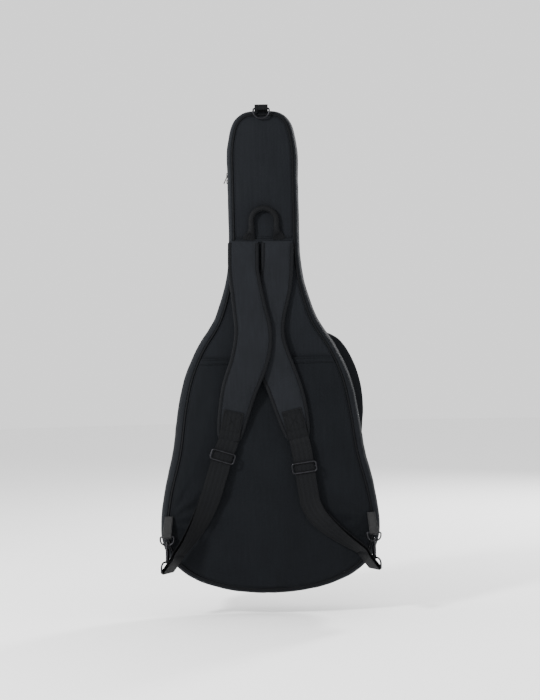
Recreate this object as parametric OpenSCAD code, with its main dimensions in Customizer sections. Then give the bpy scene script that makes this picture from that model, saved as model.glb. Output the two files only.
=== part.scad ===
// Padded guitar gig bag, seen from behind along +Y: back panel faces -Y, front pocket faces +Y, +Z is up.
// The origin is the axis of the hanging ring at the head end.

/* [Body] */
// Length from the hanging ring to the bottom seam
bag_len = 1058; // [1040:1:1080]
// Half width of the neck part
neck_half = 76; // [74:1:80]
// Half width of the lower bout
bout_half = 238; // [234:1:244]
// Depth of the bag at the bottom, back face to front face
depth_low = 128; // [120:1:140]
// Depth of the bag at the head
depth_top = 98; // [92:1:110]
// Thickness of the padded side wall
wall = 8; // [6:0.5:9]

/* [Openings] */
// Distance of the main zip from the back face
zip_depth = 59; // [57:1:62]
// Height of the back pocket's mouth below the ring
pocket_mouth = 543; // [535:1:550]
// Depth of the front pocket
front_pocket_depth = 26; // [22:1:32]

/* [Straps] */
// Thickness of a shoulder pad
pad_t = 11; // [10:0.5:11]
// Width of the strap webbing
web_w = 44; // [40:1:44]
// Thickness of all webbing
web_t = 1.6; // [1.4:0.1:1.8]
// Height of the seam that holds the straps and the handle
seam_z = -288; // [-290:1:-286]

/* [Hidden] */
$fn = 48;
back_y = 9;
skin = 1.5;
foam_t = 9;
lining_t = 1;
play = 0.2;
zip_y = back_y + zip_depth;
zip_half = 10;
tape_t = 1.2;
tooth_h = 1.7;
tooth_gap = 1.8;
piping_w = 5;
tilt = atan((depth_low - depth_top) / bag_len);
front_y = back_y + depth_top;
far = 1500;
steps = 3;

// ---- Outlines ------------------------------------------------------------------------------------

// Right half of the silhouette from the head to the bottom: x, z, and how far in the piping lies
half_outline = [
    [0, -2, 8], [36, -5, 8], [60, -24, 8], [71, -56, 8], [neck_half, -96, 8], [neck_half, -144, 8],
    [neck_half, -192, 8], [neck_half, -240, 8], [neck_half, -288, 8], [79, -340, 8], [89, -392, 9],
    [112, -458, 11], [151, -520, 12], [180, -585, 14], [197, -660, 15], [209, -745, 15], [228, -825, 14], [bout_half, -895, 13],
    [bout_half - 3, -945, 13], [212, -991, 11], [160, -1028, 9], [85, -1051, 8], [0, -bag_len, 8]];

// Front pocket, right and left halves: it leans to one side, as a soft pocket does
pocket_right = [[110, -482], [164, -505], [200, -565], [216, -640], [212, -720], [202, -800],
    [202, -880], [187, -950], [140, -996], [70, -1012], [0, -1014]];
pocket_left = [[-70, -1012], [-140, -996], [-188, -950], [-200, -880], [-192, -800], [-184, -720],
    [-176, -640], [-160, -560], [-132, -505], [-92, -482]];

function mirrored(list) = [for (i = [len(list) - 2 : -1 : 1]) [-list[i][0], list[i][1], list[i][2]]];
function curve(a, b, c, d, t) =
    0.5 * (2 * b + (c - a) * t + (2 * a - 5 * b + 4 * c - d) * t * t + (3 * b - a - 3 * c + d) * t * t * t);
function closed_curve(p, n) = [for (i = [0 : len(p) - 1]) for (k = [0 : n - 1])
    curve(p[(i + len(p) - 1) % len(p)], p[i], p[(i + 1) % len(p)], p[(i + 2) % len(p)], k / n)];
function open_curve(p, n) = [for (i = [0 : len(p) - 2]) for (k = [0 : n - 1])
    curve(p[max(i - 1, 0)], p[i], p[i + 1], p[min(i + 2, len(p) - 1)], k / n), p[len(p) - 1]];
function flat(v) = [v[0], v[1]];
function unit(v) = v / norm(v);
// Moves a clockwise loop inwards by d, plus f times the third number of each point
function inset(loop, d, f = 0) = [for (i = [0 : len(loop) - 1])
    let (t = unit(flat(loop[(i + 1) % len(loop)]) - flat(loop[(i + len(loop) - 1) % len(loop)])))
    flat(loop[i]) + [t[1], -t[0]] * (d + f * (len(loop[i]) > 2 ? loop[i][2] : 0))];

silhouette = closed_curve(concat(half_outline, mirrored(half_outline)), steps);
pocket_loop = closed_curve(concat(pocket_right, pocket_left, [[-42, -480], [10, -480], [62, -480]]), steps);

// ---- Building blocks -----------------------------------------------------------------------------

// Extrudes a flat shape drawn in x and z from depth y0 to depth y1
module slab(y0, y1) {
    translate([0, y1, 0]) rotate([90, 0, 0]) linear_extrude(y1 - y0) children();
}

// Band of the silhouette between two insets; f scales the piping's own inset
module band(d0, d1, f0 = 0, f1 = 0) {
    difference() {
        polygon(inset(silhouette, d0, f0));
        polygon(inset(silhouette, d1, f1));
    }
}

module panel_shape(d, f = 1) {
    polygon(inset(silhouette, d, f));
}

module between_z(z0, z1) {
    translate([-far, z0]) square([2 * far, z1 - z0]);
}

// The stretch of the right side where the zip stops and the cloth hinges
module hinge_zone() {
    translate([150, -985]) square([120, 180]);
}

// Places a child on the tilted front face: its y is then the distance in front of that face
module on_front() {
    translate([0, front_y, 0]) rotate([tilt, 0, 0]) children();
}

module in_front_of_front(d) {
    on_front() translate([-far, d, -far]) cube([2 * far, 400, 2 * far]);
}

// Quarter and half bends of round wire, in the x-z plane, from angle a over sweep s
module bend(radius, wire, a, s) {
    rotate([90, 0, 0]) rotate([0, 0, a]) rotate_extrude(angle = s) translate([radius, 0]) circle(r = wire);
}

module rod_x(x0, x1, z, wire) {
    translate([x0, 0, z]) rotate([0, 90, 0]) cylinder(h = x1 - x0, r = wire);
}

module rod_z(z0, z1, x, wire) {
    translate([x, 0, z0]) cylinder(h = z1 - z0, r = wire);
}

// Closed wire loop in the x-z plane with its bar at z = 0: half width a, drop h, corner radii at bar and far side
module wire_loop(a, h, bar_r, far_r, wire) {
    rod_x(-(a - bar_r), a - bar_r, 0, wire);
    for (s = [-1, 1]) {
        translate([s * (a - bar_r), 0, -bar_r]) bend(bar_r, wire, s > 0 ? 0 : 90, 90);
        if (h - bar_r - far_r > 0.01) rod_z(-(h - far_r), -bar_r, s * a, wire);
        translate([s * (a - far_r), 0, -(h - far_r)]) bend(far_r, wire, s > 0 ? -90 : 180, 90);
    }
    if (a - far_r > 0.01) rod_x(-(a - far_r), a - far_r, -h, wire);
}

// ---- Ribbons -------------------------------------------------------------------------------------
// A ribbon is a list of frames [centre, across, out]: across is its width direction, out its outer side

function frames(path) = [for (i = [0 : len(path) - 1])
    let (a = path[max(i - 1, 0)], b = path[min(i + 1, len(path) - 1)],
        along = unit([b[0] - a[0], b[1] - a[1], b[2] - a[2]]),
        flat_across = unit(cross(along, [0, 1, 0])), lift = cross(along, flat_across),
        turn = path[i][4],
        across = flat_across * cos(turn) + lift * sin(turn))
    [[path[i][0], path[i][1], path[i][2]], across, cross(along, across), path[i][3], along]];

function section(f, a, b, t0, t1) = [f[0] + f[1] * b + f[2] * t1, f[0] + f[1] * a + f[2] * t1,
    f[0] + f[1] * a + f[2] * t0, f[0] + f[1] * b + f[2] * t0];

module skin_over(rings) {
    n = len(rings);
    polyhedron(points = [for (r = rings) for (p = r) p], faces = concat(
        [[3, 2, 1], [3, 1, 0]],
        [[4 * n - 4, 4 * n - 3, 4 * n - 2], [4 * n - 4, 4 * n - 2, 4 * n - 1]],
        [for (i = [0 : n - 2]) for (k = [0 : 3]) for (h = [0, 1])
            let (a = 4 * i + k, b = 4 * i + (k + 1) % 4)
            k < 2 ? (h == 0 ? [a, b, b + 4] : [a, b + 4, a + 4])
            : (h == 0 ? [a, b, a + 4] : [b, b + 4, a + 4])]));
}

// Layer of a shoulder pad: from edge share e0 to e1 of its half width, with margins, between two heights
module pad_layer(path, side0, side1, margin0, margin1, t0, t1) {
    skin_over([for (f = frames(path))
        section(f, side0 * f[3] / 2 + margin0, side1 * f[3] / 2 + margin1, t0, t1)]);
}

// ---- Shell: back half ----------------------------------------------------------------------------

panel_in = piping_w + play;
pocket_out = back_y - 7.5;

module back_panel_upper() {
    color("#24282d") slab(back_y, back_y + skin) intersection() {
        panel_shape(panel_in);
        between_z(seam_z, 10);
    }
}

module back_panel_lower() {
    color("#24282d") slab(back_y, back_y + skin) intersection() {
        panel_shape(panel_in);
        between_z(-far, seam_z - play);
    }
}

module back_pocket_shape(d) {
    intersection() {
        panel_shape(panel_in + d);
        between_z(-far, -pocket_mouth);
    }
}

module back_pocket_panel() {
    color("#1f2226") {
        slab(pocket_out, pocket_out + skin) back_pocket_shape(0);
        slab(pocket_out + skin, back_y) difference() {
            back_pocket_shape(0);
            back_pocket_shape(4);
            between_z(-600, 0);
        }
        slab(pocket_out + skin, back_y) intersection() {
            difference() {
                panel_shape(panel_in);
                panel_shape(panel_in + 4);
            }
            between_z(-600, -pocket_mouth);
        }
    }
}

module back_pocket_hem() {
    hem_h = 13;
    color("#1a1d20") slab(pocket_out - 1.2, pocket_out) intersection() {
        panel_shape(panel_in + 1);
        between_z(-pocket_mouth - hem_h, -pocket_mouth);
    }
}

module back_foam() {
    color("#c9c9c4") slab(back_y + skin, back_y + skin + foam_t) panel_shape(panel_in);
}

module back_lining() {
    floor_y = back_y + skin + foam_t;
    color("#3a3f45") {
        slab(floor_y, floor_y + lining_t) panel_shape(wall + play, 0);
        slab(floor_y + lining_t, zip_y - zip_half) band(wall + play, wall + play + lining_t);
    }
}

module back_gusset() {
    color("#22262b") {
        slab(back_y, back_y + wall) band(0, 0, 0, 1);
        slab(back_y + wall, zip_y - zip_half) band(0, wall);
    }
}

module back_piping() {
    color("#0e1012") slab(back_y - 2.5, back_y + 2.5) band(play / 2, piping_w, 1, 1);
}

// ---- Main zip ------------------------------------------------------------------------------------

tape_in = 3;
teeth_y = tooth_gap / 2 + tooth_h;

module zip_band(d0, d1) {
    difference() {
        band(d0, d1);
        hinge_zone();
    }
}

module zip_tape(side) {
    y0 = zip_y + side * teeth_y;
    y1 = zip_y + side * zip_half;
    color("#15171a") slab(min(y0, y1), max(y0, y1)) zip_band(tape_in, tape_in + tape_t);
}

module zip_teeth(side) {
    y0 = zip_y + side * tooth_gap / 2;
    y1 = zip_y + side * teeth_y;
    color("#0d0e10") slab(min(y0, y1), max(y0, y1)) zip_band(tape_in - 0.8, tape_in + tape_t + 0.8);
}

module hinge_strip() {
    color("#22262b") slab(zip_y - zip_half + play, zip_y + zip_half - play) intersection() {
        band(0.5, 2.5);
        translate([150, -983]) square([120, 176]);
    }
}

slider_len = 14;
slider_w = 11;
plate_t = 1.4;
bridge_out = 4.6;
pull_len = 21;

// Slider seen with its outer face towards -Y, teeth along z, centred on z = 0, teeth plane at y = 0
module zip_slider() {
    top = tooth_gap;
    outer = -2.3;
    color("#2b2d30") {
        for (y0 = [outer - plate_t, -outer]) translate([-slider_w / 2, y0, -slider_len / 2])
            cube([slider_w, plate_t, slider_len]);
        translate([-0.6, outer, slider_len / 2 - 3]) cube([1.2, -2 * outer, 2.4]);
        for (z = [-4.5, 3.1]) translate([-1.5, outer - plate_t - bridge_out + 1.4, z])
            cube([3, bridge_out - 1.4, 1.4]);
        translate([-1.5, outer - plate_t - bridge_out, -4.5]) cube([3, 1.4, 9]);
    }
}

// Distance from the teeth plane to the axis that a pull turns on
pull_axis = 2.3 + 1.4 + 1.6;

// Pull hanging down from its own axis at the origin, its bar along x
module zip_pull() {
    color("#1b1c1e") {
        rod_x(-4, 4, 0, 0.9);
        difference() {
            union() {
                translate([-4, -0.9, -pull_len + 4]) cube([8, 1.8, pull_len - 4]);
                translate([0, 0.9, -pull_len + 4]) rotate([90, 0, 0]) cylinder(h = 1.8, r = 4);
            }
            translate([-2.3, -2, -7]) cube([4.6, 4, 6.2]);
            translate([0, 2, -pull_len + 4]) rotate([90, 0, 0]) cylinder(h = 4, r = 1.6);
        }
    }
}

// On the left side of the neck, with the outer face towards -X
module at_neck_zip(z) {
    translate([-(neck_half - tape_in - tape_t / 2), zip_y, z]) rotate([0, 0, -90]) children();
}

upper_z = -136;
lower_z = upper_z - slider_len - 0.6;
drape = 25;

module pull_upper_at() {
    at_neck_zip(upper_z) translate([0, -pull_axis, 0]) rotate([-drape, 0, 0]) zip_pull();
}

module pull_lower_at() {
    at_neck_zip(lower_z) translate([0, -pull_axis, 0]) zip_pull();
}

// ---- Shell: front half ---------------------------------------------------------------------------

module front_panel() {
    color("#24282d") on_front() slab(-skin, 0) panel_shape(panel_in);
}

module front_foam() {
    color("#c9c9c4") on_front() slab(-skin - foam_t, -skin) panel_shape(panel_in);
}

module front_lining() {
    floor_y = -skin - foam_t;
    color("#3a3f45") {
        on_front() slab(floor_y - lining_t, floor_y) panel_shape(wall + play, 0);
        difference() {
            slab(zip_y + zip_half, front_y + 60) band(wall + play, wall + play + lining_t);
            in_front_of_front(floor_y - lining_t);
        }
    }
}

module front_gusset() {
    color("#22262b") {
        on_front() slab(-wall, 0) band(0, 0, 0, 1);
        difference() {
            slab(zip_y + zip_half, front_y + 60) band(0, wall);
            in_front_of_front(-wall);
        }
    }
}

module front_piping() {
    color("#0e1012") on_front() slab(-2.5, 2.5) band(play / 2, piping_w, 1, 1);
}

// ---- Front pocket --------------------------------------------------------------------------------

slot_z = -512;
slot_half = 7;
slot_x0 = -78;
slot_x1 = 106;

module pocket_slot(margin = 0) {
    translate([slot_x0 + margin, slot_z - slot_half + margin])
        square([slot_x1 - slot_x0 - 2 * margin, 2 * (slot_half - margin)]);
}

module front_pocket_panel() {
    color("#24282d") on_front() slab(front_pocket_depth - skin, front_pocket_depth) difference() {
        polygon(inset(pocket_loop, piping_w));
        pocket_slot();
    }
}

module front_pocket_side() {
    color("#22262b") on_front() difference() {
        slab(play, front_pocket_depth) difference() {
            polygon(inset(pocket_loop, 0));
            polygon(inset(pocket_loop, 3));
        }
        slab(0, 2.5 + play) band(-play, piping_w + play, 1, 1);
    }
    // Cloth that closes the pocket where it hangs past the bag's side
    color("#22262b") on_front() slab(play, 2 + play) difference() {
        polygon(inset(pocket_loop, 1));
        polygon(inset(silhouette, -play, 1));
    }
}

module front_pocket_piping() {
    color("#0e1012") on_front() slab(front_pocket_depth - 2, front_pocket_depth + 2) difference() {
        polygon(inset(pocket_loop, 3 + play / 2));
        polygon(inset(pocket_loop, piping_w - play / 2));
    }
}

pocket_zip_y = front_pocket_depth - skin / 2;

module front_pocket_zip_tape() {
    color("#15171a") on_front() slab(pocket_zip_y - tape_t / 2, pocket_zip_y + tape_t / 2) difference() {
        pocket_slot();
        translate([slot_x0 - 1, slot_z - teeth_y]) square([slot_x1 - slot_x0 + 2, 2 * teeth_y]);
    }
}

module front_pocket_zip_teeth() {
    color("#0d0e10") on_front() slab(pocket_zip_y - 1.4, pocket_zip_y + 1.4) difference() {
        translate([slot_x0, slot_z - teeth_y]) square([slot_x1 - slot_x0, 2 * teeth_y]);
        translate([slot_x0 - 1, slot_z - tooth_gap / 2]) square([slot_x1 - slot_x0 + 2, tooth_gap]);
    }
}

pocket_slider_x = -58;

module front_pocket_zip_slider() {
    on_front() translate([pocket_slider_x, pocket_zip_y, slot_z]) rotate([0, 0, 180]) rotate([0, 90, 0])
        zip_slider();
}

module front_pocket_zip_pull() {
    on_front() translate([pocket_slider_x, pocket_zip_y + pull_axis, slot_z]) rotate([0, 0, 180])
        rotate([0, 90, 0]) zip_pull();
}

// ---- Hanging tab, ring and handle ----------------------------------------------------------------

ring_wire = 1.9;
tab_half = 14.5;

// Webbing that comes out of the head seam, arches over and folds round the ring's bar
module hang_tab() {
    color("#17191b") translate([-tab_half, 0, 0]) rotate([90, 0, 90]) linear_extrude(2 * tab_half) {
        difference() {
            union() {
                circle(r = ring_wire + 0.4 + web_t);
                translate([5.6, 3]) difference() {
                    circle(r = 7.6);
                    circle(r = 4.6);
                    translate([-20, -20]) square([40, 20]);
                }
                translate([-2, 0]) square([3, 3.2]);
                translate([10.2, -1.7]) square([3, 4.9]);
            }
            circle(r = ring_wire + 0.4);
        }
    }
}

module hang_ring() {
    color("#3b3d40") wire_loop(17.5, 21, 3.5, 16, ring_wire);
}

handle_r = 27;
handle_z = seam_z + 44;
handle_y = back_y - 8;

module handle_grip() {
    color("#101214") translate([0, handle_y, handle_z]) {
        bend(handle_r, 6, 0, 180);
        for (s = [-1, 1]) {
            rod_z(-22, 0, s * handle_r, 6);
            translate([s * handle_r, 0, -22]) sphere(r = 6);
        }
    }
}

module handle_tabs() {
    color("#1a1c1f") for (s = [-1, 1]) translate([s * (handle_r + 4), back_y - play, seam_z + 1])
        rotate([90, 0, 0]) linear_extrude(2.4) polygon([[-14, 0], [14, 0], [13, 9], [6 - s * 4, 14],
            [-6 - s * 4, 14], [-13, 9]]);
}

// ---- Shoulder straps -----------------------------------------------------------------------------
// Stations of a pad's centre line: x, y of its back face, z, width, turn

pad_left = open_curve([[-45, 5.9, seam_z - 1, 66, 0], [-46, -1.5, -350, 66, 0], [-41, -4.6, -392, 68, 0],
    [-34, -6, -440, 73, 0], [-28, -9, -482, 79, 0], [-31, -12.3, -522, 82, 0], [-42, -13, -562, 80, 0],
    [-59, -11.4, -605, 76, 0], [-70, -5, -645, 70, 0], [-80, -2.5, -690, 60, 0], [-86, -2, -721, 48, 0]], 2);
pad_right = open_curve([[29, 5.8, seam_z - 1, 68, 0], [26.5, 7.6, -350, 69, 0], [20, 7.8, -392, 73, 0],
    [7, 6.5, -440, 75, 0], [0, 3.4, -482, 78, 0], [4, -0.6, -522, 80, 0], [19, -1.2, -562, 78, 0],
    [36, -1.2, -605, 75, 0], [48, -1.2, -645, 72, 0], [59, -1.2, -690, 62, 0], [66, -1.2, -721, 48, 0]], 2);
binding_w = 5;
inner_w = binding_w + play;

module strap_face(path) {
    color("#2a2e33") pad_layer(path, -1, 1, inner_w, -inner_w, pad_t - skin, pad_t);
}

module strap_foam(path) {
    color("#c9c9c4") pad_layer(path, -1, 1, inner_w, -inner_w, skin, pad_t - skin);
}

module strap_backing(path) {
    color("#17191c") pad_layer(path, -1, 1, inner_w, -inner_w, 0, skin);
}

module strap_binding(path) {
    color("#1d2024") {
        pad_layer(path, -1, -1, 0, binding_w, 0, pad_t);
        pad_layer(path, 1, 1, -binding_w, 0, 0, pad_t);
    }
}

// The webbing's sewn end on the face of the pad: the pad's last stations
module strap_patch(path) {
    n = len(path);
    color("#131517") skin_over([for (i = [n - 5 : n - 1]) let (f = frames(path)[i])
        section(f, -web_w / 2, web_w / 2, pad_t + play, pad_t + web_t)]);
}

// Stations of the webbing's centre line: x, y, z, width, turn. The second and third are one straight run.
web_left = [[-89, -14, -728, 44, 0], [-93, -15, -737, 44, -2], [-99, -16, -752, 44, -3],
    [-118, -17, -812, 44, -3], [-125, -18, -834, 44, -8], [-136, -20, -864, 44, -20],
    [-153, -23.5, -900, 44, -38], [-176, -28, -938, 44, -54], [-197.3, -30.9, -964.3, 44, -65]];
web_right = [[67, -14, -724, 44, 0], [70, -15, -737, 44, 1], [72.5, -16, -752, 44, 2],
    [84, -16.5, -836, 44, 2], [88.5, -17, -860, 44, 4], [102, -18.5, -887, 44, 14],
    [126, -22.5, -912, 44, 32], [152, -26.5, -933, 44, 48], [176, -29.5, -950, 44, 58],
    [197.3, -30.8, -964.4, 44, 65]];

hook_x = 224;
hook_y = -15;
ring_z = -926;
ring_drop = 18;
claw_r = 8;
claw_wire = 2.2;
claw_z = ring_z - ring_drop - 2.4;
eye_top = claw_z - claw_r - 21;
eye_bar = -1000;
eye_turn = 30;
eye_wire = 2;
fold_r = 3.5;

// Directions at the eye's bar for side s: along the bar, and the way the webbing runs into it
function eye_across(s) = [-s * sin(eye_turn), cos(eye_turn), 0];
function eye_along(s) = unit([s * cos(eye_turn), sin(eye_turn), -1.2]);

function web_frames(path) = frames(open_curve(path, 3));
function strip_section(f, side, gap) = side > 0 ? section(f, -web_w / 2, web_w / 2, -web_t / 2, web_t / 2)
    : section([f[0] - f[2] * gap, f[1], f[2]], -web_w / 2, web_w / 2, -web_t / 2, web_t / 2);
return_from = 13;

// Front and return layers of the webbing between the pad and the eye
module webbing(path) {
    f = web_frames(path);
    n = len(f);
    color("#131517") {
        skin_over([for (i = [0 : n - 1]) strip_section(f[i], 1, 0)]);
        skin_over([for (i = [return_from : n - 1]) strip_section(f[i], -1, 2 * fold_r)]);
    }
}

// The webbing's fold round the eye's bar
module webbing_end(s) {
    e = [s * hook_x, hook_y, eye_bar];
    along = eye_along(s);
    across = -s * eye_across(s);
    out = cross(along, across);
    reach = 38;
    color("#131517") skin_over(concat(
        [section([e + out * fold_r - along * reach, across, out], -web_w / 2, web_w / 2, -web_t / 2, web_t / 2)],
        [for (a = [0 : 30 : 180])
            let (o = out * cos(a) + along * sin(a))
            section([e + o * fold_r, across, o], -web_w / 2, web_w / 2, -web_t / 2, web_t / 2)],
        [section([e - out * fold_r - along * reach, across, -out], -web_w / 2, web_w / 2, -web_t / 2, web_t / 2)]));
}

// Turns a child's x, y, z into across, out and up along the strip at a station
module at_frame(c, across, out, along) {
    multmatrix([[across[0], out[0], -along[0], c[0]], [across[1], out[1], -along[1], c[1]],
        [across[2], out[2], -along[2], c[2]], [0, 0, 0, 1]]) children();
}

adjuster_half = 26;
adjuster_h = 21;
adjuster_wire = 1.7;

// Wire frame over the webbing with a centre bar under it
module adjuster() {
    color("#47494d") {
        translate([0, 3.4, adjuster_h / 2]) wire_loop(adjuster_half, adjuster_h, 5, 5, adjuster_wire);
        translate([0, -2.9, 0]) rod_x(-adjuster_half, adjuster_half, 0, adjuster_wire);
        for (s = [-1, 1]) translate([s * adjuster_half, 0, 0]) {
            translate([0, 3.4, 0]) rotate([90, 0, 0]) cylinder(h = 6.3, r = adjuster_wire);
            translate([0, -2.9, 0]) sphere(r = adjuster_wire);
        }
    }
}

module adjuster_at(path, i, share) {
    f = frames(path)[i];
    a = [path[i][0], path[i][1], path[i][2]];
    b = [path[i + 1][0], path[i + 1][1], path[i + 1][2]];
    along = unit(b - a);
    flat_across = unit(cross(along, [0, 1, 0]));
    across = flat_across * cos(path[i][4]) + cross(along, flat_across) * sin(path[i][4]);
    at_frame(a + (b - a) * share, across, cross(along, across), along) adjuster();
}

// ---- Hooks, rings and corner tabs ----------------------------------------------------------------

module at_hook(s) {
    translate([s * hook_x, hook_y, 0]) children();
}

// Loop that the webbing goes round, with a boss that the hook's pin turns in
module hook_eye(s) {
    color("#5d6065") at_hook(s) difference() {
        union() {
            rotate([0, 0, 90 + s * eye_turn]) translate([0, 0, eye_bar])
                mirror([0, 0, 1]) wire_loop(24.5, eye_top - 4 - eye_bar, 4, 12, eye_wire);
            translate([0, 0, eye_top - 7]) cylinder(h = 7, r = 4.6);
        }
        translate([0, 0, eye_top - 8]) cylinder(h = 9, r = 2);
    }
}

// Claw, barrel and swivel pin with its head under the boss
module hook(s) {
    color("#6b6e73") at_hook(s) {
        translate([0, 0, claw_z]) rotate([0, 0, 90]) bend(claw_r, claw_wire, 25, 245);
        translate([0, 0, eye_top + 0.3]) cylinder(h = claw_z - claw_r - eye_top + 1.2, r = 4.2);
        translate([0, 0, eye_top - 7.6]) cylinder(h = 8, r = 1.9);
        translate([0, 0, eye_top - 9.8]) cylinder(h = 2.4, r = 3.2);
    }
}

gate_base = [0, 6.7, -9.6];
gate_tip = [0, 7.4, 2.2];

module hook_gate(s) {
    v = gate_tip - gate_base;
    color("#54575b") at_hook(s) translate([0, 0, claw_z]) translate(gate_base) {
        rotate([-atan2(v[1], v[2]), 0, 0]) cylinder(h = norm(v), r = 1.2);
        rotate([0, 90, 0]) translate([0, 0, -2.2]) cylinder(h = 4.4, r = 1.9);
    }
}

module corner_ring(s) {
    color("#4c4f53") at_hook(s) translate([0, 0, ring_z]) wire_loop(15, ring_drop, 3, 12, 1.8);
}

// Flap sewn into the side seam, folded round the ring's bar
module corner_tab(s) {
    slope = 19;
    len_tab = 46;
    color("#121416") at_hook(s) translate([0, 0, ring_z]) {
        difference() {
            union() {
                rotate([0, 90, 0]) cylinder(h = 20, r = 4.4, center = true);
                rotate([-slope, 0, 0]) translate([0, 1.2, 0]) rotate([90, 0, 0]) linear_extrude(2.4)
                    polygon([[-10, 1], [10, 1], [9 - 4 * s, len_tab], [-9 - 4 * s, len_tab]]);
            }
            rotate([0, 90, 0]) cylinder(h = 30, r = 2.2, center = true);
        }
    }
}

// ---- Output --------------------------------------------------------------------------------------

back_panel_upper();
back_panel_lower();
back_pocket_panel();
back_pocket_hem();
back_foam();
back_lining();
back_gusset();
back_piping();
zip_tape(-1);  // zip_tape_back
zip_teeth(-1);  // zip_teeth_back
hinge_strip();
hang_tab();
hang_ring();
front_panel();
front_foam();
front_lining();
front_gusset();
front_piping();
zip_tape(1);  // zip_tape_front
zip_teeth(1);  // zip_teeth_front
front_pocket_panel();
front_pocket_side();
front_pocket_piping();
front_pocket_zip_tape();
front_pocket_zip_teeth();
front_pocket_zip_slider();
front_pocket_zip_pull();
at_neck_zip(upper_z) zip_slider();  // zip_slider_upper
pull_upper_at();  // zip_pull_upper
at_neck_zip(lower_z) zip_slider();  // zip_slider_lower
pull_lower_at();  // zip_pull_lower
handle_grip();
handle_tabs();
strap_face(pad_left);  // strap_face_left
strap_foam(pad_left);  // strap_foam_left
strap_backing(pad_left);  // strap_backing_left
strap_binding(pad_left);  // strap_binding_left
strap_patch(pad_left);  // strap_patch_left
webbing(web_left);  // webbing_left
webbing_end(-1);  // webbing_end_left
adjuster_at(web_left, 2, 0.04);  // adjuster_left
hook_eye(-1);  // hook_eye_left
hook(-1);  // hook_left
hook_gate(-1);  // hook_gate_left
corner_tab(-1);  // corner_tab_left
corner_ring(-1);  // corner_ring_left
strap_face(pad_right);  // strap_face_right
strap_foam(pad_right);  // strap_foam_right
strap_backing(pad_right);  // strap_backing_right
strap_binding(pad_right);  // strap_binding_right
strap_patch(pad_right);  // strap_patch_right
webbing(web_right);  // webbing_right
webbing_end(1);  // webbing_end_right
adjuster_at(web_right, 2, 0.35);  // adjuster_right
hook_eye(1);  // hook_eye_right
hook(1);  // hook_right
hook_gate(1);  // hook_gate_right
corner_tab(1);  // corner_tab_right
corner_ring(1);  // corner_ring_right
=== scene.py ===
"""The looks of a padded guitar bag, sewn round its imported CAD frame."""
import math

import bmesh
import bpy
from mathutils import Matrix, Vector, kdtree, noise


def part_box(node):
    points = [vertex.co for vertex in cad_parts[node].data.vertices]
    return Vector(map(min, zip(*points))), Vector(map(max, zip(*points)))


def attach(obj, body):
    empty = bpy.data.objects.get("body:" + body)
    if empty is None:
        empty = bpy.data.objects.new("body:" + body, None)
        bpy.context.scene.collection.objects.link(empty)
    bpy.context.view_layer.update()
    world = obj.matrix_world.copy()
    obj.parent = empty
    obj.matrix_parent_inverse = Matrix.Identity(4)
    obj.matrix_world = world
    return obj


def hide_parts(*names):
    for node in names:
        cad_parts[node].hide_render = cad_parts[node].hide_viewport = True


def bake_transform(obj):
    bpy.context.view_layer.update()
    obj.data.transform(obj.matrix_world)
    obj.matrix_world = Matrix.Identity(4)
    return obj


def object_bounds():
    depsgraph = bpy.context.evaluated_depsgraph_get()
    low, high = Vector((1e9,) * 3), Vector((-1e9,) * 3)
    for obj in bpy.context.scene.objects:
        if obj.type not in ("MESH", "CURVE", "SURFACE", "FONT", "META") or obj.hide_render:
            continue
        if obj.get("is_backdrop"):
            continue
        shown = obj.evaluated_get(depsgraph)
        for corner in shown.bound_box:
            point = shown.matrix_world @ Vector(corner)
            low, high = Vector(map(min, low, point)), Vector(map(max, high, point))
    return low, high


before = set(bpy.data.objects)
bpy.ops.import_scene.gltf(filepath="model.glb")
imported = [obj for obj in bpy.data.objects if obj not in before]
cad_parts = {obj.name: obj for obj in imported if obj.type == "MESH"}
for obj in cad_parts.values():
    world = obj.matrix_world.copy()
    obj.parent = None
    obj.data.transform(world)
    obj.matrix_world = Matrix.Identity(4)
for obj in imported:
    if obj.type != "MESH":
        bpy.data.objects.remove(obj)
cad_low, cad_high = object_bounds()

MM = 0.001
BACK_FACE = 9 * MM          # outer face of the back panel
ZIP_LINE = 68 * MM          # where the two rows of teeth meet
FRONT_FACE = 107 * MM       # outer face of the front panel at the head
SLOPE = 30 / 1058           # how fast the front face comes forward on the way down
TAPE_HALF = 10 * MM


# ---- Camera, floor and lights --------------------------------------------------------------------

def set_camera():
    """The camera looks squarely at the straps, from 3.3 m away, slightly rolled."""
    bpy.ops.object.camera_add(location=(0.0077, -3.3, -0.526))
    camera = bpy.context.active_object
    camera.rotation_euler = (math.radians(90), math.radians(1.27), 0)
    camera.data.lens = 78.0
    camera.data.dof.use_dof = False
    bpy.context.scene.camera = camera


def light_softly(name, place, aim, size, watts):
    bpy.ops.object.light_add(type="AREA", location=place)
    lamp = bpy.context.active_object
    lamp.name = name
    lamp.data.shape = "DISK"
    lamp.data.size = size
    lamp.data.energy = watts
    lamp.rotation_euler = (Vector(aim) - Vector(place)).to_track_quat("-Z", "Y").to_euler()


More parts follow.
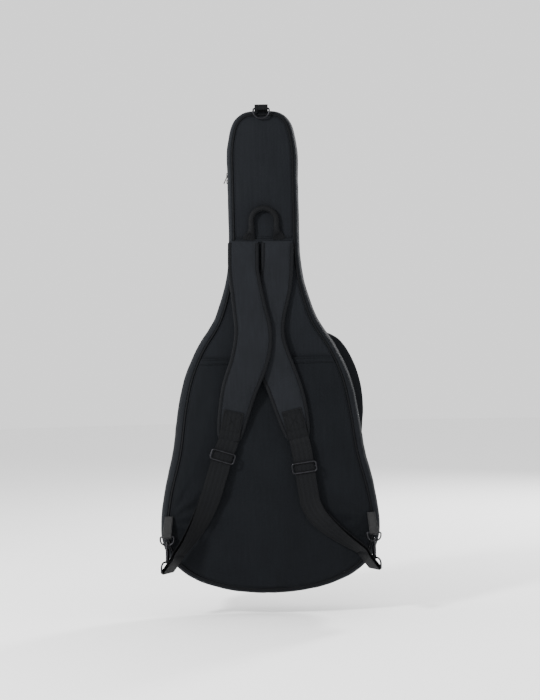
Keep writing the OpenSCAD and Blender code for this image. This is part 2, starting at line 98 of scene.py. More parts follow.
def set_stage():
    bpy.ops.mesh.primitive_circle_add(vertices=96, radius=9, fill_type="NGON",
                                      location=(0, 0, cad_low.z - 0.05))
    floor = bpy.context.active_object
    floor.name = "floor"
    floor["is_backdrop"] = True
    paint = Paint("floor_white")
    paint.finish(colour=(0.93, 0.93, 0.93), roughness=0.8, specular=0.2)
    paint.on(floor)
    world = bpy.data.worlds.new("studio") if not bpy.context.scene.world else bpy.context.scene.world
    bpy.context.scene.world = world
    world.use_nodes = True
    backdrop = world.node_tree.nodes["Background"]
    backdrop.inputs["Color"].default_value = (1, 1, 1, 1)
    backdrop.inputs["Strength"].default_value = 1.35
    light_softly("key_light", (-1.9, -1.9, 0.9), (0, 0, -0.5), 0.5, 140)
    light_softly("edge_light_left", (-2.2, 0.4, -0.4), (0, 0, -0.5), 0.8, 22)
    light_softly("front_light", (1.7, 2.5, 0.7), (0, 0, -0.5), 0.6, 120)
    light_softly("edge_light_right", (2.2, -0.6, 0.2), (0, 0, -0.5), 0.8, 16)


# ---- Shader maths --------------------------------------------------------------------------------

class Value:
    """A number that changes over a surface: arithmetic on it adds Math nodes."""

    def __init__(self, paint, socket):
        self.paint, self.socket = paint, socket

    def _with(self, operation, first, second=None):
        inputs = [first] if second is None else [first, second]
        return self.paint.node("ShaderNodeMath", {"operation": operation}, inputs)

    def __add__(self, other):
        return self._with("ADD", self, other)

    def __radd__(self, other):
        return self._with("ADD", other, self)

    def __sub__(self, other):
        return self._with("SUBTRACT", self, other)

    def __rsub__(self, other):
        return self._with("SUBTRACT", other, self)

    def __mul__(self, other):
        return self._with("MULTIPLY", self, other)

    def __rmul__(self, other):
        return self._with("MULTIPLY", other, self)

    def __truediv__(self, other):
        return self._with("DIVIDE", self, other)

    def __gt__(self, other):
        return self._with("GREATER_THAN", self, other)

    def __lt__(self, other):
        return self._with("LESS_THAN", self, other)

    def __abs__(self):
        return self._with("ABSOLUTE", self)

    def sine(self):
        return self._with("SINE", self)


class Paint:
    """One procedural finish and the nodes that make it."""

    def __init__(self, name):
        self.material = bpy.data.materials.new(name)
        self.material.use_nodes = True
        self.tree = self.material.node_tree
        self.shader = self.tree.nodes["Principled BSDF"]

    def node(self, kind, settings, inputs, output=0):
        made = self.tree.nodes.new(kind)
        for key, setting in settings.items():
            if key == "stops":
                ramp = made.color_ramp.elements
                while len(ramp) < len(setting):
                    ramp.new(0.5)
                for stop, (place, colour) in zip(ramp, setting):
                    stop.position, stop.color = place, (*colour, 1)
            else:
                setattr(made, key, setting)
        pairs = inputs.items() if isinstance(inputs, dict) else enumerate(inputs)
        for key, given in pairs:
            if isinstance(given, Value):
                self.tree.links.new(given.socket, made.inputs[key])
            else:
                made.inputs[key].default_value = given
        return Value(self, made.outputs[output])

    def cloth_place(self):
        """Metres across and along the cloth, from the piece's own map."""
        place = self.node("ShaderNodeUVMap", {}, {}, "UV")
        split = self.tree.nodes.new("ShaderNodeSeparateXYZ")
        self.tree.links.new(place.socket, split.inputs[0])
        return Value(self, split.outputs[0]), Value(self, split.outputs[1])

    def grain(self, size, detail=2.0, stretch=(1, 1, 1)):
        """Cloudy noise of that size in metres, on the object's own place."""
        where = self.node("ShaderNodeTexCoord", {}, {}, "Object")
        turned = self.node("ShaderNodeMapping", {}, {"Vector": where, "Scale": stretch})
        return self.node("ShaderNodeTexNoise", {}, {"Vector": turned, "Scale": 1 / size, "Detail": detail}, 0)

    def shade(self, share, dark, light):
        """A colour between two, by a share from 0 to 1."""
        return self.node("ShaderNodeMix", {"data_type": "RGBA"}, {0: share, 6: (*dark, 1), 7: (*light, 1)}, 2)

    def finish(self, colour, roughness=0.7, specular=0.4, metallic=0.0, height=None, depth=0.0002,
               strength=0.6, sheen=0.0, sheen_colour=(1, 1, 1)):
        shader = self.shader.inputs
        for key, given in (("Base Color", colour), ("Roughness", roughness)):
            if isinstance(given, Value):
                self.tree.links.new(given.socket, shader[key])
            else:
                shader[key].default_value = (*given, 1) if key == "Base Color" else given
        shader["Specular IOR Level"].default_value = specular
        shader["Metallic"].default_value = metallic
        shader["Sheen Weight"].default_value = sheen
        shader["Sheen Roughness"].default_value = 0.45
        shader["Sheen Tint"].default_value = (*sheen_colour, 1)
        if height is not None:
            bump = self.node("ShaderNodeBump", {}, {"Strength": strength, "Distance": depth, "Height": height})
            self.tree.links.new(bump.socket, shader["Normal"])

    def on(self, *pieces):
        for piece in pieces:
            piece.data.materials.clear()
            piece.data.materials.append(self.material)


def rise(value, low, high, paint):
    """0 below low, 1 above high."""
    return paint.node("ShaderNodeMapRange", {"interpolation_type": "SMOOTHSTEP"},
                      {0: value, 1: low, 2: high, 3: 0.0, 4: 1.0})


def woven(name, dark, light, pitch=0.0011, roughness=0.82, sheen=0.012, specular=0.07, depth=0.00022):
    """Plain-woven polyester: small over-and-under threads, upright streaks and soft wear."""
    paint = Paint(name)
    across, along = paint.cloth_place()
    warp = (across * (math.tau / pitch)).sine()
    weft = (along * (math.tau / pitch)).sine()
    threads = warp * weft * 0.5 + 0.5
    streaks = paint.grain(0.004, 3, (1, 1, 0.06))
    slubs = paint.grain(0.0022, 2, (0.3, 0.3, 1))
    patches = paint.grain(0.09, 3)
    share = threads * 0.22 + streaks * 0.42 + patches * 0.4 - 0.04
    paint.finish(paint.shade(share, dark, light), roughness=0.1 * streaks + (roughness - 0.05),
                 specular=specular, sheen=sheen, sheen_colour=(0.75, 0.85, 1.0),
                 height=threads + streaks * 0.5 + slubs * 0.4, depth=depth, strength=0.55)
    return paint


def ribbed_webbing(name, dark, light):
    """Woven webbing: fine ribs along it, crossed by short weft floats, and a plain edge."""
    paint = Paint(name)
    across, along = paint.cloth_place()
    ribs = (across * (math.tau / 0.0021)).sine()
    floats = ((along + across * 0.5) * (math.tau / 0.0026)).sine()
    fuzz = paint.grain(0.0012, 3)
    weave = ribs * 0.55 + ribs * floats * 0.45
    share = weave * 0.2 + fuzz * 0.55 + 0.08
    paint.finish(paint.shade(share, dark, light), roughness=0.66, specular=0.10, sheen=0.006,
                 height=weave * 0.5 + fuzz * 0.3, depth=0.00045, strength=0.8)
    return paint


def grosgrain(name, dark, light):
    """Binding tape with fine cross ribs."""
    paint = Paint(name)
    across, along = paint.cloth_place()
    ribs = (along * (math.tau / 0.0014)).sine()
    fuzz = paint.grain(0.0015, 3)
    paint.finish(paint.shade(ribs * 0.25 + fuzz * 0.6 + 0.05, dark, light), roughness=0.68, specular=0.08,
                 sheen=0.004, height=ribs * 0.5 + fuzz * 0.3, depth=0.0003, strength=0.7)
    return paint


def plated(name, dark, light, roughness=0.26):
    """Dark nickel plating with faint rubs."""
    paint = Paint(name)
    rubs = paint.grain(0.006, 4, (1, 1, 0.3))
    fine = paint.grain(0.0009, 3)
    paint.finish(paint.shade(rubs, dark, light), roughness=rubs * 0.16 + (roughness - 0.06), metallic=1.0,
                 specular=0.5, height=fine, depth=0.00003, strength=0.35)
    return paint


def lacquered(name, colour):
    """Black lacquer on cast zip parts, worn to metal on small spots."""
    paint = Paint(name)
    wear = rise(paint.grain(0.0035, 4), 0.62, 0.74, paint)
    paint.finish(paint.shade(wear, colour, (0.05, 0.05, 0.055)), roughness=0.36, specular=0.32,
                 height=paint.grain(0.001, 2), depth=0.00003, strength=0.3)
    return paint


def grained_leather(name, dark, light):
    paint = Paint(name)
    where = paint.node("ShaderNodeTexCoord", {}, {}, "Object")
    cells = paint.node("ShaderNodeTexVoronoi", {"feature": "DISTANCE_TO_EDGE"}, {"Vector": where, "Scale": 900.0}, 0)
    creases = rise(cells, 0.02, 0.2, paint)
    paint.finish(paint.shade(creases * 0.5 + paint.grain(0.01, 3) * 0.4, dark, light), roughness=0.42,
                 specular=0.22, height=creases, depth=0.00025, strength=0.6)
    return paint


# ---- Ways of making pieces -----------------------------------------------------------------------

def start_clean():
    if bpy.context.object and bpy.context.object.mode != "OBJECT":
        bpy.ops.object.mode_set(mode="OBJECT")
    bpy.ops.object.select_all(action="DESELECT")


def lay_cloth(name, across, along, place, size=(1.0, 1.0), closed=True):
    """A grid of cloth whose points are laid by place(share across, share along); its map is in metres."""
    start_clean()
    bpy.ops.mesh.primitive_grid_add(x_subdivisions=across, y_subdivisions=along, size=1)
    piece = bpy.context.active_object
    piece.name = piece.data.name = name
    for corner in piece.data.uv_layers.active.data:
        corner.uv = (corner.uv[0] * size[0], corner.uv[1] * size[1])
    for vertex in piece.data.vertices:
        vertex.co = place(vertex.co.x + 0.5, vertex.co.y + 0.5)
    bpy.ops.object.mode_set(mode="EDIT")
    bpy.ops.mesh.select_all(action="SELECT")
    bpy.ops.mesh.remove_doubles(threshold=0.000004)
    bpy.ops.mesh.normals_make_consistent(inside=False)
    bpy.ops.object.mode_set(mode="OBJECT")
    bpy.ops.object.shade_smooth()
    return piece


def give_thickness(piece, thickness, offset=-1.0):
    wall = piece.modifiers.new("thickness", "SOLIDIFY")
    wall.thickness, wall.offset = thickness, offset
    bpy.context.view_layer.objects.active = piece
    bpy.ops.object.modifier_apply(modifier=wall.name)
    return piece


CLOTH_GRID = 5 * MM  # spacing of the points that stand for the cloth while it settles
CLOTH_STEPS = 20


def swell(piece, is_sewn, furthest, body=0.0, push=4.0):
    """Fills a piece and lets a copy of it settle as cloth, held where is_sewn says.

    The piece then moves as the copy did, but no point by more than furthest. A single sheet is given
    the thickness body for the copy alone, and push is how hard it is filled.
    """
    start_clean()
    piece.select_set(True)
    bpy.context.view_layer.objects.active = piece
    bpy.ops.object.duplicate()
    trial = bpy.context.active_object
    if body:
        give_thickness(trial, body)
    even = trial.modifiers.new("even", "REMESH")
    even.mode, even.voxel_size = "VOXEL", CLOTH_GRID
    bpy.ops.object.modifier_apply(modifier=even.name)
    before = [v.co.copy() for v in trial.data.vertices]
    sewn = trial.vertex_groups.new(name="sewn")
    sewn.add([i for i, co in enumerate(before) if is_sewn(co)], 1.0, "REPLACE")
    cloth = trial.modifiers.new("cloth", "CLOTH")
    cloth.settings.quality = 6
    cloth.settings.tension_stiffness = cloth.settings.compression_stiffness = 12
    cloth.settings.shear_stiffness, cloth.settings.bending_stiffness = 4, 0.3
    cloth.settings.use_pressure = True
    cloth.settings.uniform_pressure_force = push
    cloth.settings.vertex_group_mass = "sewn"
    cloth.settings.effector_weights.gravity = 0
    cloth.point_cache.frame_start, cloth.point_cache.frame_end = 1, CLOTH_STEPS
    for step in range(1, CLOTH_STEPS + 1):
        bpy.context.scene.frame_set(step)
    settled = trial.evaluated_get(bpy.context.evaluated_depsgraph_get()).data
    moves = [after.co - co for after, co in zip(settled.vertices, before)]
    bpy.context.scene.frame_set(1)
    tree = kdtree.KDTree(len(before))
    for i, co in enumerate(before):
        tree.insert(co, i)
    tree.balance()
    for vertex in piece.data.vertices:
        total, weight = Vector(), 0.0
        for _, i, distance in tree.find_n(vertex.co, 6):
            near = 1 / (distance + 0.0008)
            total += moves[i] * near
            weight += near
        move = total / weight
        vertex.co += move * min(1.0, furthest / max(move.length, 1e-9))
    bpy.data.objects.remove(trial)


def join_as(name, pieces):
    start_clean()
    for piece in pieces:
        piece.select_set(True)
    bpy.context.view_layer.objects.active = pieces[0]
    bpy.ops.object.join()
    pieces[0].name = pieces[0].data.name = name
    return pieces[0]


def smooth_step(low, high, value):
    share = min(max((value - low) / (high - low), 0.0), 1.0)
    return share * share * (3 - 2 * share)


def curve_through(a, b, c, d, share):
    return (2 * b + (c - a) * share + (2 * a - 5 * b + 4 * c - d) * share ** 2
            + (3 * b - a - 3 * c + d) * share ** 3) * 0.5


class Loop:
    """A closed line through points, read by its share of the way round."""

    def __init__(self, points):
        self.points = points
        lengths = [(points[(i + 1) % len(points)] - p).length for i, p in enumerate(points)]
        self.length = sum(lengths)
        self.marks = [0.0]
        for step in lengths:
            self.marks.append(self.marks[-1] + step / self.length)

    def at(self, share):
        share = share % 1.0
        count = len(self.points)
        low, high = 0, count
        while high - low > 1:
            middle = (low + high) // 2
            if self.marks[middle] <= share:
                low = middle
            else:
                high = middle
        part = (share - self.marks[low]) / max(self.marks[low + 1] - self.marks[low], 1e-9)
        return curve_through(*(self.points[(low + k) % count] for k in (-1, 0, 1, 2)), part)


def node_points(node):
    mesh = bmesh.new()
    mesh.from_mesh(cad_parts[node].data)
    bmesh.ops.remove_doubles(mesh, verts=mesh.verts, dist=0.00001)
    return mesh


def loop_round(pairs, centre):
    """Sorts (x, z) pairs clockwise from the top, seen from the straps' side."""
    turn = lambda p: math.atan2(p[0] - centre[0], p[1] - centre[1]) % math.tau
    return [Vector((x, 0, z)) for x, z in sorted(pairs, key=turn)]


def shell_loops():
    """The bag's outer line and the line that its back piping is sewn on, from the back gusset."""
    mesh = node_points("back_gusset")
    lowest = min(v.co.y for v in mesh.verts)
    pairs = sorted({(round(v.co.x, 5), round(v.co.z, 5)) for v in mesh.verts if v.co.y < lowest + 0.0005})
    mesh.free()

    def is_inner(p):
        """Whether another point lies some millimetres further out from the bag's spine."""
        spine = Vector((0, min(max(p[1], -0.85), -0.07)))
        away = (Vector(p) - spine).normalized()
        for q in pairs:
            step = Vector(q) - Vector(p)
            further = step.dot(away)
            if 0.005 < further < 0.018 and (step - away * further).length < 0.0085:
                return True
        return False

    centre = (0.0, -0.70)
    outer = loop_round([p for p in pairs if not is_inner(p)], centre)
    inner = loop_round([p for p in pairs if is_inner(p)], centre)
    # on straight stretches a point of the inner line can lack its partner: it lies well inside its neighbours
    kept = []
    for before, here, after in zip(outer[-1:] + outer[:-1], outer, outer[1:] + outer[:1]):
        chord = (after - before).normalized()
        if (here - before).dot(Vector((chord.z, 0, -chord.x))) < 0.004:
            kept.append(here)
    return kept, inner


def front_of(z):
    """Depth of the front face at a height."""
    return FRONT_FACE - SLOPE * z


class Outline:
    """The bag's silhouette: how wide it is at a height, and how far a point is from its seam."""

    def __init__(self):
        outer, inner = shell_loops()
        self.outer, self.inner = Loop(outer), Loop(inner)
        # the seam's point that belongs to each point of the outer line
        tree = kdtree.KDTree(len(inner))
        for i, p in enumerate(inner):
            tree.insert(p, i)
        tree.balance()
        self.depth = Loop([Vector((tree.find(p)[2], 0, 0)) for p in outer])
        marks = self.outer.marks
        self.depth.marks = marks
        self.length = self.outer.length
        self.near_seam = kdtree.KDTree(900)
        for i in range(900):
            self.near_seam.insert(self.inner.at(i / 900), i)
        self.near_seam.balance()

    def ring(self, share, inset=0.0):
        """A point of the silhouette moved inwards by so many metres."""
        here = self.outer.at(share)
        ahead, behind = self.outer.at(share + 0.0015), self.outer.at(share - 0.0015)
        way = (ahead - behind).normalized()
        return here + Vector((way.z, 0, -way.x)) * inset

    def seam_inset(self, share):
        return self.depth.at(share).x

    def half_width(self, z, inset):
        """Half width of the panel inside the seam at a height."""
        if not hasattr(self, "rows"):
            self.rows = sorted(((self.inner.at(i / 1600).z, abs(self.inner.at(i / 1600).x)) for i in range(800)))
        low, high = 0, len(self.rows) - 1
        while high - low > 1:
            middle = (low + high) // 2
            if self.rows[middle][0] <= z:
                low = middle
            else:
                high = middle
        (z0, x0), (z1, x1) = self.rows[low], self.rows[high]
        share = min(max((z - z0) / max(z1 - z0, 1e-9), 0), 1)
        slope = (x1 - x0) / max(z1 - z0, 1e-6)
        return max(x0 + (x1 - x0) * share - inset * min(math.hypot(1, slope), 12.0), 0.0)

    def from_seam(self, x, z):
        return self.near_seam.find(Vector((x, 0, z)))[2]


class Strip:
    """Stations of a CAD strip: its centre, the way across it, the way out of it, and its half width."""

    def __init__(self, node, longest=True, upside=True, least=0.034):
        mesh = node_points(node)
        mesh.verts.index_update()
        mesh.verts.ensure_lookup_table()
        groups, seen = [], set()
        for vertex in mesh.verts:
            if vertex in seen:
                continue
            group, queue = set(), [vertex]
            while queue:
                v = queue.pop()
                if v in group:
                    continue
                group.add(v)
                queue += [e.other_vert(v) for e in v.link_edges]
            seen |= group
            groups.append(group)
        groups.sort(key=lambda g: max(v.co.z for v in g) - min(v.co.z for v in g), reverse=True)
        group = groups[0 if longest else -1]
        caps = []
        for face in mesh.faces:
            sides = sorted(e.calc_length() for e in face.edges)
            if face.verts[0] in group and sides[0] < 0.0021 and sides[1] > least:
                for cap in caps:
                    if cap & set(face.verts):
                        cap |= set(face.verts)
                        break
                else:
                    caps.append(set(face.verts))
        key = lambda cap: sum(v.co.z for v in cap) / len(cap)
        ring = max(caps, key=key) if upside else min(caps, key=key)
        self.rings, done = [], set()
        while ring:
            done |= ring
            # in the mesh's own order, so that every run adds them up alike
            self.rings.append([v.co.copy() for v in sorted(ring, key=lambda v: v.index)])
            ring = {e.other_vert(v) for v in ring for e in v.link_edges} - done
        mesh.free()
        self.stations = []
        for i, points in enumerate(self.rings):
            points = list(points)
            mate = min(points[1:], key=lambda p: (p - points[0]).length)
            rest = [p for p in points[1:] if p is not mate]
            across = (sum(rest, Vector()) / len(rest)) - (points[0] + mate) / 2
            centre = sum(points, Vector()) / len(points)
            out = points[0] - mate
            if self.stations:
                before = self.stations[-1]
                across = across if across.dot(before[1]) > 0 else -across
                out = out if out.dot(before[2]) > 0 else -out
            else:
                across = across if across.x > 0 else -across
                out = out if out.y < 0 else -out
            self.stations.append((centre, across.normalized(), out.normalized(), across.length / 2))


def eased(stations, steps):
    """More stations on a smooth line through the given ones."""
    fine = []
    for i in range(len(stations) - 1):
        picks = [stations[min(max(i + k, 0), len(stations) - 1)] for k in (-1, 0, 1, 2)]
        for step in range(steps):
            share = step / steps
            centre, across, out = (curve_through(*(p[k] for p in picks), share) for k in range(3))
            width = curve_through(*(p[3] for p in picks), share)
            fine.append((centre, across.normalized(), out.normalized(), width))
    fine.append(stations[-1])
    return fine


def sweep(name, stations, profile, around=16, capped=True):
    """A closed skin along stations; profile(turn, share along, half width) gives metres across and out."""
    marks = [0.0]
    for before, after in zip(stations, stations[1:]):
        marks.append(marks[-1] + (after[0] - before[0]).length)
    count = len(stations)
    ends = 1 if capped else 0
    rows = count - 1 + 2 * ends

    def place(u, v):
        row = round(v * rows) - ends
        flat = row < 0 or row > count - 1
        row = min(max(row, 0), count - 1)
        centre, across, out, half = stations[row]
        a, b = profile(u % 1.0 if u < 0.99999 else 0.0, marks[row] / marks[-1], half)
        if flat:
            a, b = a * 0.0, b * 0.0
        return centre + across * a + out * b

    return lay_cloth(name, around, rows, place, size=(stations[0][3] * 4, marks[-1]))


def band_profile(thickness, edge=0.35):
    """A flat band with soft edges."""
    def profile(turn, share, half):
        angle = turn * math.tau
        c, s = math.cos(angle), math.sin(angle)
        return (math.copysign(abs(c) ** edge, c) * half, math.copysign(abs(s) ** 0.6, s) * thickness / 2)
    return profile


def tube_along(name, points, radius, around=8, closed=False):
    """A round cord along points."""
    count = len(points)

    def place(u, v):
        row = round(v * (count if closed else count - 1))
        here = points[row % count]
        ahead = points[(row + 1) % count] if closed or row < count - 1 else here
        behind = points[(row - 1) % count] if closed or row > 0 else here
        way = (ahead - behind).normalized()
        side = way.cross(Vector((0, 1, 0))).normalized() if abs(way.y) < 0.95 else Vector((1, 0, 0))
        up = side.cross(way)
        angle = (u % 1.0 if u < 0.99999 else 0.0) * math.tau
        return here + (side * math.cos(angle) + up * math.sin(angle)) * radius

    length = sum((b - a).length for a, b in zip(points, points[1:]))
    return lay_cloth(name, around, count if closed else count - 1, place, size=(radius * 6, length))


def stitch_row(name, points, outs, pitch=0.0034, thread=0.0005):
    """Short stitches along a line: each is one small bent bar with pointed ends, copied along."""
    start_clean()
    vertices, faces = [], []
    marks = [0.0]
    for a, b in zip(points, points[1:]):
        marks.append(marks[-1] + (b - a).length)
    total, index = marks[-1], 0
    count = int(total / pitch)
    for n in range(count):
        middle = (n + 0.5) * pitch
        while index < len(marks) - 2 and marks[index + 1] < middle:
            index += 1
        share = (middle - marks[index]) / max(marks[index + 1] - marks[index], 1e-9)
        here = points[index].lerp(points[index + 1], share)
        way = (points[index + 1] - points[index]).normalized()
        out = outs[index].lerp(outs[index + 1], share).normalized()
        side = way.cross(out).normalized()
        half = pitch * 0.38
        base = len(vertices)
        vertices += [here - way * half - out * thread, here + way * half - out * thread]
        for along in (-0.45, 0.45):
            for turn in range(4):
                angle = math.tau * turn / 4
                vertices.append(here + way * half * along
                                + (side * math.cos(angle) + out * math.sin(angle)) * thread)
        for turn in range(4):
            after = (turn + 1) % 4
            faces += [(base, base + 2 + after, base + 2 + turn),
                      (base + 1, base + 6 + turn, base + 6 + after),
                      (base + 2 + turn, base + 2 + after, base + 6 + after, base + 6 + turn)]
    mesh = bpy.data.meshes.new(name)
    mesh.from_pydata([tuple(v) for v in vertices], [], faces)
    mesh.update()
    piece = bpy.data.objects.new(name, mesh)
    bpy.context.collection.objects.link(piece)
    for polygon in mesh.polygons:
        polygon.use_smooth = True
    mesh.uv_layers.new(name="UVMap")
    return piece


# ---- The shell -----------------------------------------------------------------------------------

def soft(x, z, size, seed):
    """Slow folds of slack cloth."""
    return noise.noise(Vector((x / size, z / size, seed)))


def gusset_point(outline, front, share, turn):
    """A point of the padded side: turn 0 at the piping, 0.58 at the zip, then back along the lining."""
    wall = 0.0072
    ring = outline.outer.at(share)
    inset = outline.seam_inset(share)
    face = front_of(ring.z) if front else BACK_FACE
    edge = ZIP_LINE + (TAPE_HALF if front else -TAPE_HALF)
    deep = abs(edge - face)
    rounded = min(0.018, deep * 0.4)
    if turn < 0.3:
        angle = turn / 0.3 * math.pi / 2
        off = inset * (1 - math.sin(angle))
        down = rounded * (1 - math.cos(angle))
    elif turn < 0.58:
        part = (turn - 0.3) / 0.28
        down = rounded + (deep - rounded) * part
        off = -0.0022 * math.sin(part * math.pi) ** 0.8
    elif turn < 0.66:
        part = (turn - 0.58) / 0.08
        off = wall * part * 0.9
        down = deep + 0.0006 * math.sin(part * math.pi)
    elif turn < 0.9:
        part = (turn - 0.66) / 0.24
        off = wall * 0.9 + 0.0004 * part
        down = deep + (0.0112 - deep) * part
    else:
        part = (turn - 0.9) / 0.1
        off = wall + (inset - wall) * part
        down = 0.0112 * (1 - part)
    ripple = 0.0011 * soft(ring.x, ring.z, 0.045, 3.0 + turn * 2) * (1 if turn < 0.58 else 0.2)
    ripple += 0.0006 * soft(ring.x, ring.z, 0.018, 7.0)
    here = outline.ring(share, max(off - ripple * math.sin(min(turn / 0.58, 1) * math.pi), -0.0034))
    return Vector((here.x, face + (-down if front else down), here.z))


def gusset(name, outline, front):
    """Half of the padded side: it rolls from the piping out to the zip, and has a lining side."""
    def place(u, v):
        return gusset_point(outline, front, u % 1.0 if u < 0.99999 else 0.0, v % 1.0 if v < 0.99999 else 0.0)

    return lay_cloth(name, 360, 40, place, size=(outline.length, 0.16))


def gusset_stitches(name, outline, front, turn):
    points, outs = [], []
    for i in range(901):
        share = i / 900
        here = gusset_point(outline, front, share % 1.0, turn)
        away = (outline.ring(share, -0.004) - outline.ring(share, 0.0)).normalized()
        points.append(here + away * 0.0001)
        outs.append(away)
    return stitch_row(name, points, outs, pitch=0.004, thread=0.00042)


def piping(name, outline, front):
    count = 420
    points = []
    for i in range(count):
        share = i / count
        inset = outline.seam_inset(share) + 0.0026
        here = outline.ring(share, inset)
        face = front_of(here.z) + 0.0004 if front else BACK_FACE - 0.0004
        points.append(Vector((here.x, face, here.z)))
    return tube_along(name, points, 0.0024, around=10, closed=True)


def panel_rows(top, bottom, share):
    """Heights of a panel's rows, closer together at both ends."""
    eased_share = 0.5 - 0.5 * math.cos(share * math.pi)
    return top + (bottom - top) * (0.35 * share + 0.65 * eased_share)


def panel(name, outline, top, bottom, lift, across=90, along=220, thickness=0.0016, width_inset=0.0052,
          outwards=-1.0, face=None, puff=None):
    """A crowned panel between two heights; lift(x, z, distance from seam) is how proud it stands."""
    def place(u, v):
        z = panel_rows(top, bottom, v)
        half = outline.half_width(z, width_inset)
        side = math.sin((u - 0.5) * math.pi * 0.94) / math.sin(0.47 * math.pi)
        x = half * side
        base = face(z) if face else BACK_FACE
        return Vector((x, base + outwards * lift(x, z, outline.from_seam(x, z)), z))

    piece = lay_cloth(name, across, along, place, size=(0.44, abs(bottom - top)))
    for corner, loop in zip(piece.data.uv_layers.active.data, piece.data.loops):
        co = piece.data.vertices[loop.vertex_index].co
        corner.uv = (co.x, co.z)
    start_clean()
    way = sum(p.normal.y for p in piece.data.polygons)
    if way * outwards < 0:
        piece.data.flip_normals()
    if puff:
        swell(piece, **puff)
    start_clean()
    piece.select_set(True)
    bpy.context.view_layer.objects.active = piece
    return give_thickness(piece, thickness)


def crown(distance, height, reach):
    share = min(distance / reach, 1.0)
    return height * math.sin(share * math.pi / 2) ** 0.8


def stitches_over(name, line, height, front=False, pitch=0.0036, thread=0.00042):
    """Stitches along (x, z) points of a panel; height(x, z) is the depth of the cloth there."""
    way = 1 if front else -1
    points = [Vector((x, height(x, z) + way * 0.0001, z)) for x, z in line]
    return stitch_row(name, points, [Vector((0, way, 0))] * len(points), pitch, thread)


def copies_along(name, seed, places):
    """Copies of one small shape, each turned and set by its own matrix."""
    vertices, faces = [], []
    for place in places:
        base = len(vertices)
        vertices += [tuple(place @ v.co) for v in seed.data.vertices]
        faces += [tuple(base + i for i in f.vertices) for f in seed.data.polygons]
    mesh = bpy.data.meshes.new(name)
    mesh.from_pydata(vertices, [], faces)
    mesh.update()
    mesh.uv_layers.new(name="UVMap")
    piece = bpy.data.objects.new(name, mesh)
    bpy.context.collection.objects.link(piece)
    bpy.data.objects.remove(seed)
    return piece


def small_block(size, round_by):
    """One moulded tooth."""
    start_clean()
    bpy.ops.mesh.primitive_cube_add(size=1)
    block = bpy.context.active_object
    for vertex in block.data.vertices:
        vertex.co = Vector([vertex.co[k] * size[k] for k in range(3)])
    edges = block.modifiers.new("round", "BEVEL")
    edges.width, edges.segments = round_by, 1
    bpy.ops.object.modifier_apply(modifier=edges.name)
    return block


def put_on(piece, paint, slot_name, body, *nodes):
    """Paints a piece, lets it ride on its body and stand for its CAD nodes."""
    paint.on(piece)
    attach(piece, body)
    if nodes:
        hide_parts(*nodes)
    return piece


set_camera()
set_stage()
outline = Outline()
seam_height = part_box("back_panel_upper")[0].z
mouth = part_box("back_pocket_panel")[1].z

shell_cloth = woven("shell_cloth", (0.0018, 0.0022, 0.0029), (0.0096, 0.0107, 0.0130))
pocket_cloth = woven("pocket_cloth", (0.0011, 0.0014, 0.0019), (0.0066, 0.0076, 0.0094))
strap_cloth = woven("strap_cloth", (0.0028, 0.0032, 0.0040), (0.0128, 0.0140, 0.0168), pitch=0.0013)
lining_cloth = woven("lining_cloth", (0.030, 0.034, 0.042), (0.085, 0.092, 0.105), pitch=0.0008, sheen=0.2)
strap_webbing = ribbed_webbing("strap_webbing", (0.0005, 0.0006, 0.0009), (0.0036, 0.0042, 0.0055))
zip_cloth = grosgrain("zip_cloth", (0.0010, 0.0011, 0.0014), (0.0052, 0.0056, 0.0068))
edge_tape = grosgrain("edge_tape", (0.0012, 0.0014, 0.0018), (0.0080, 0.0088, 0.0106))
cord_cloth = grosgrain("cord_cloth", (0.0008, 0.0009, 0.0012), (0.0046, 0.0052, 0.0066))
thread_paint = Paint("thread")
thread_paint.finish(colour=(0.0010, 0.0011, 0.0014), roughness=0.75, specular=0.08)
leather = grained_leather("black_leather", (0.0012, 0.0012, 0.0015), (0.0085, 0.0090, 0.0100))
dark_nickel = plated("dark_nickel", (0.010, 0.010, 0.011), (0.034, 0.034, 0.038), roughness=0.36)
zip_lacquer = lacquered("zip_lacquer", (0.004, 0.004, 0.0045))
coil_nylon = Paint("coil_nylon")
coil_nylon.finish(colour=coil_nylon.shade(coil_nylon.grain(0.004), (0.008, 0.008, 0.009), (0.020, 0.020, 0.022)),
                  roughness=0.38, specular=0.5)


# ---- Back half -----------------------------------------------------------------------------------

def upper_lift(x, z, seam):
    near = min(seam, z - seam_height)
    return crown(max(near, 0.0), 0.0021, 0.03) + 0.0005 * soft(x, z, 0.05, 1.5) * min(near / 0.02, 1)


def lower_lift(x, z, seam):
    near = max(min(seam, seam_height - z), 0.0)
    return crown(near, 0.0012, 0.03) + 0.0003 * soft(x, z, 0.05, 2.5) * min(near / 0.02, 1)


def tab_pull(x, z, sign, strength):
    """Creases that spread from a corner tab over the pocket."""
    dx, dz = (x - sign * 0.222) * -sign, z + 0.893
    reach = math.hypot(dx, dz)
    angle = math.atan2(dz, max(dx, 0.0001))
    crease = math.sin(angle * 11 + 1.3 * soft(x, z, 0.12, 9.0)) * math.exp(-reach / 0.10)
    return strength * crease * smooth_step(0.012, 0.06, reach)


def pocket_lift(x, z, seam):
    """The slack pocket: full below, looser at its mouth, creased towards both corner tabs."""
    rim = smooth_step(0.0, 0.03, seam)
    slack = 0.0016 * soft(x, z, 0.14, 4.0) + 0.0008 * soft(x, z + 0.4 * x, 0.05, 5.0)
    creases = tab_pull(x, z, -1, 0.0030) + tab_pull(x, z, 1, 0.0015)
    dip = 0.0010 * math.exp(-((z - mouth) / 0.05) ** 2) * math.cos(x * 20 + 0.6)
    lift = crown(seam, 0.0069, 0.026) + (slack + creases - dip) * rim
    return min(max(lift, 0.0004), 0.0102)


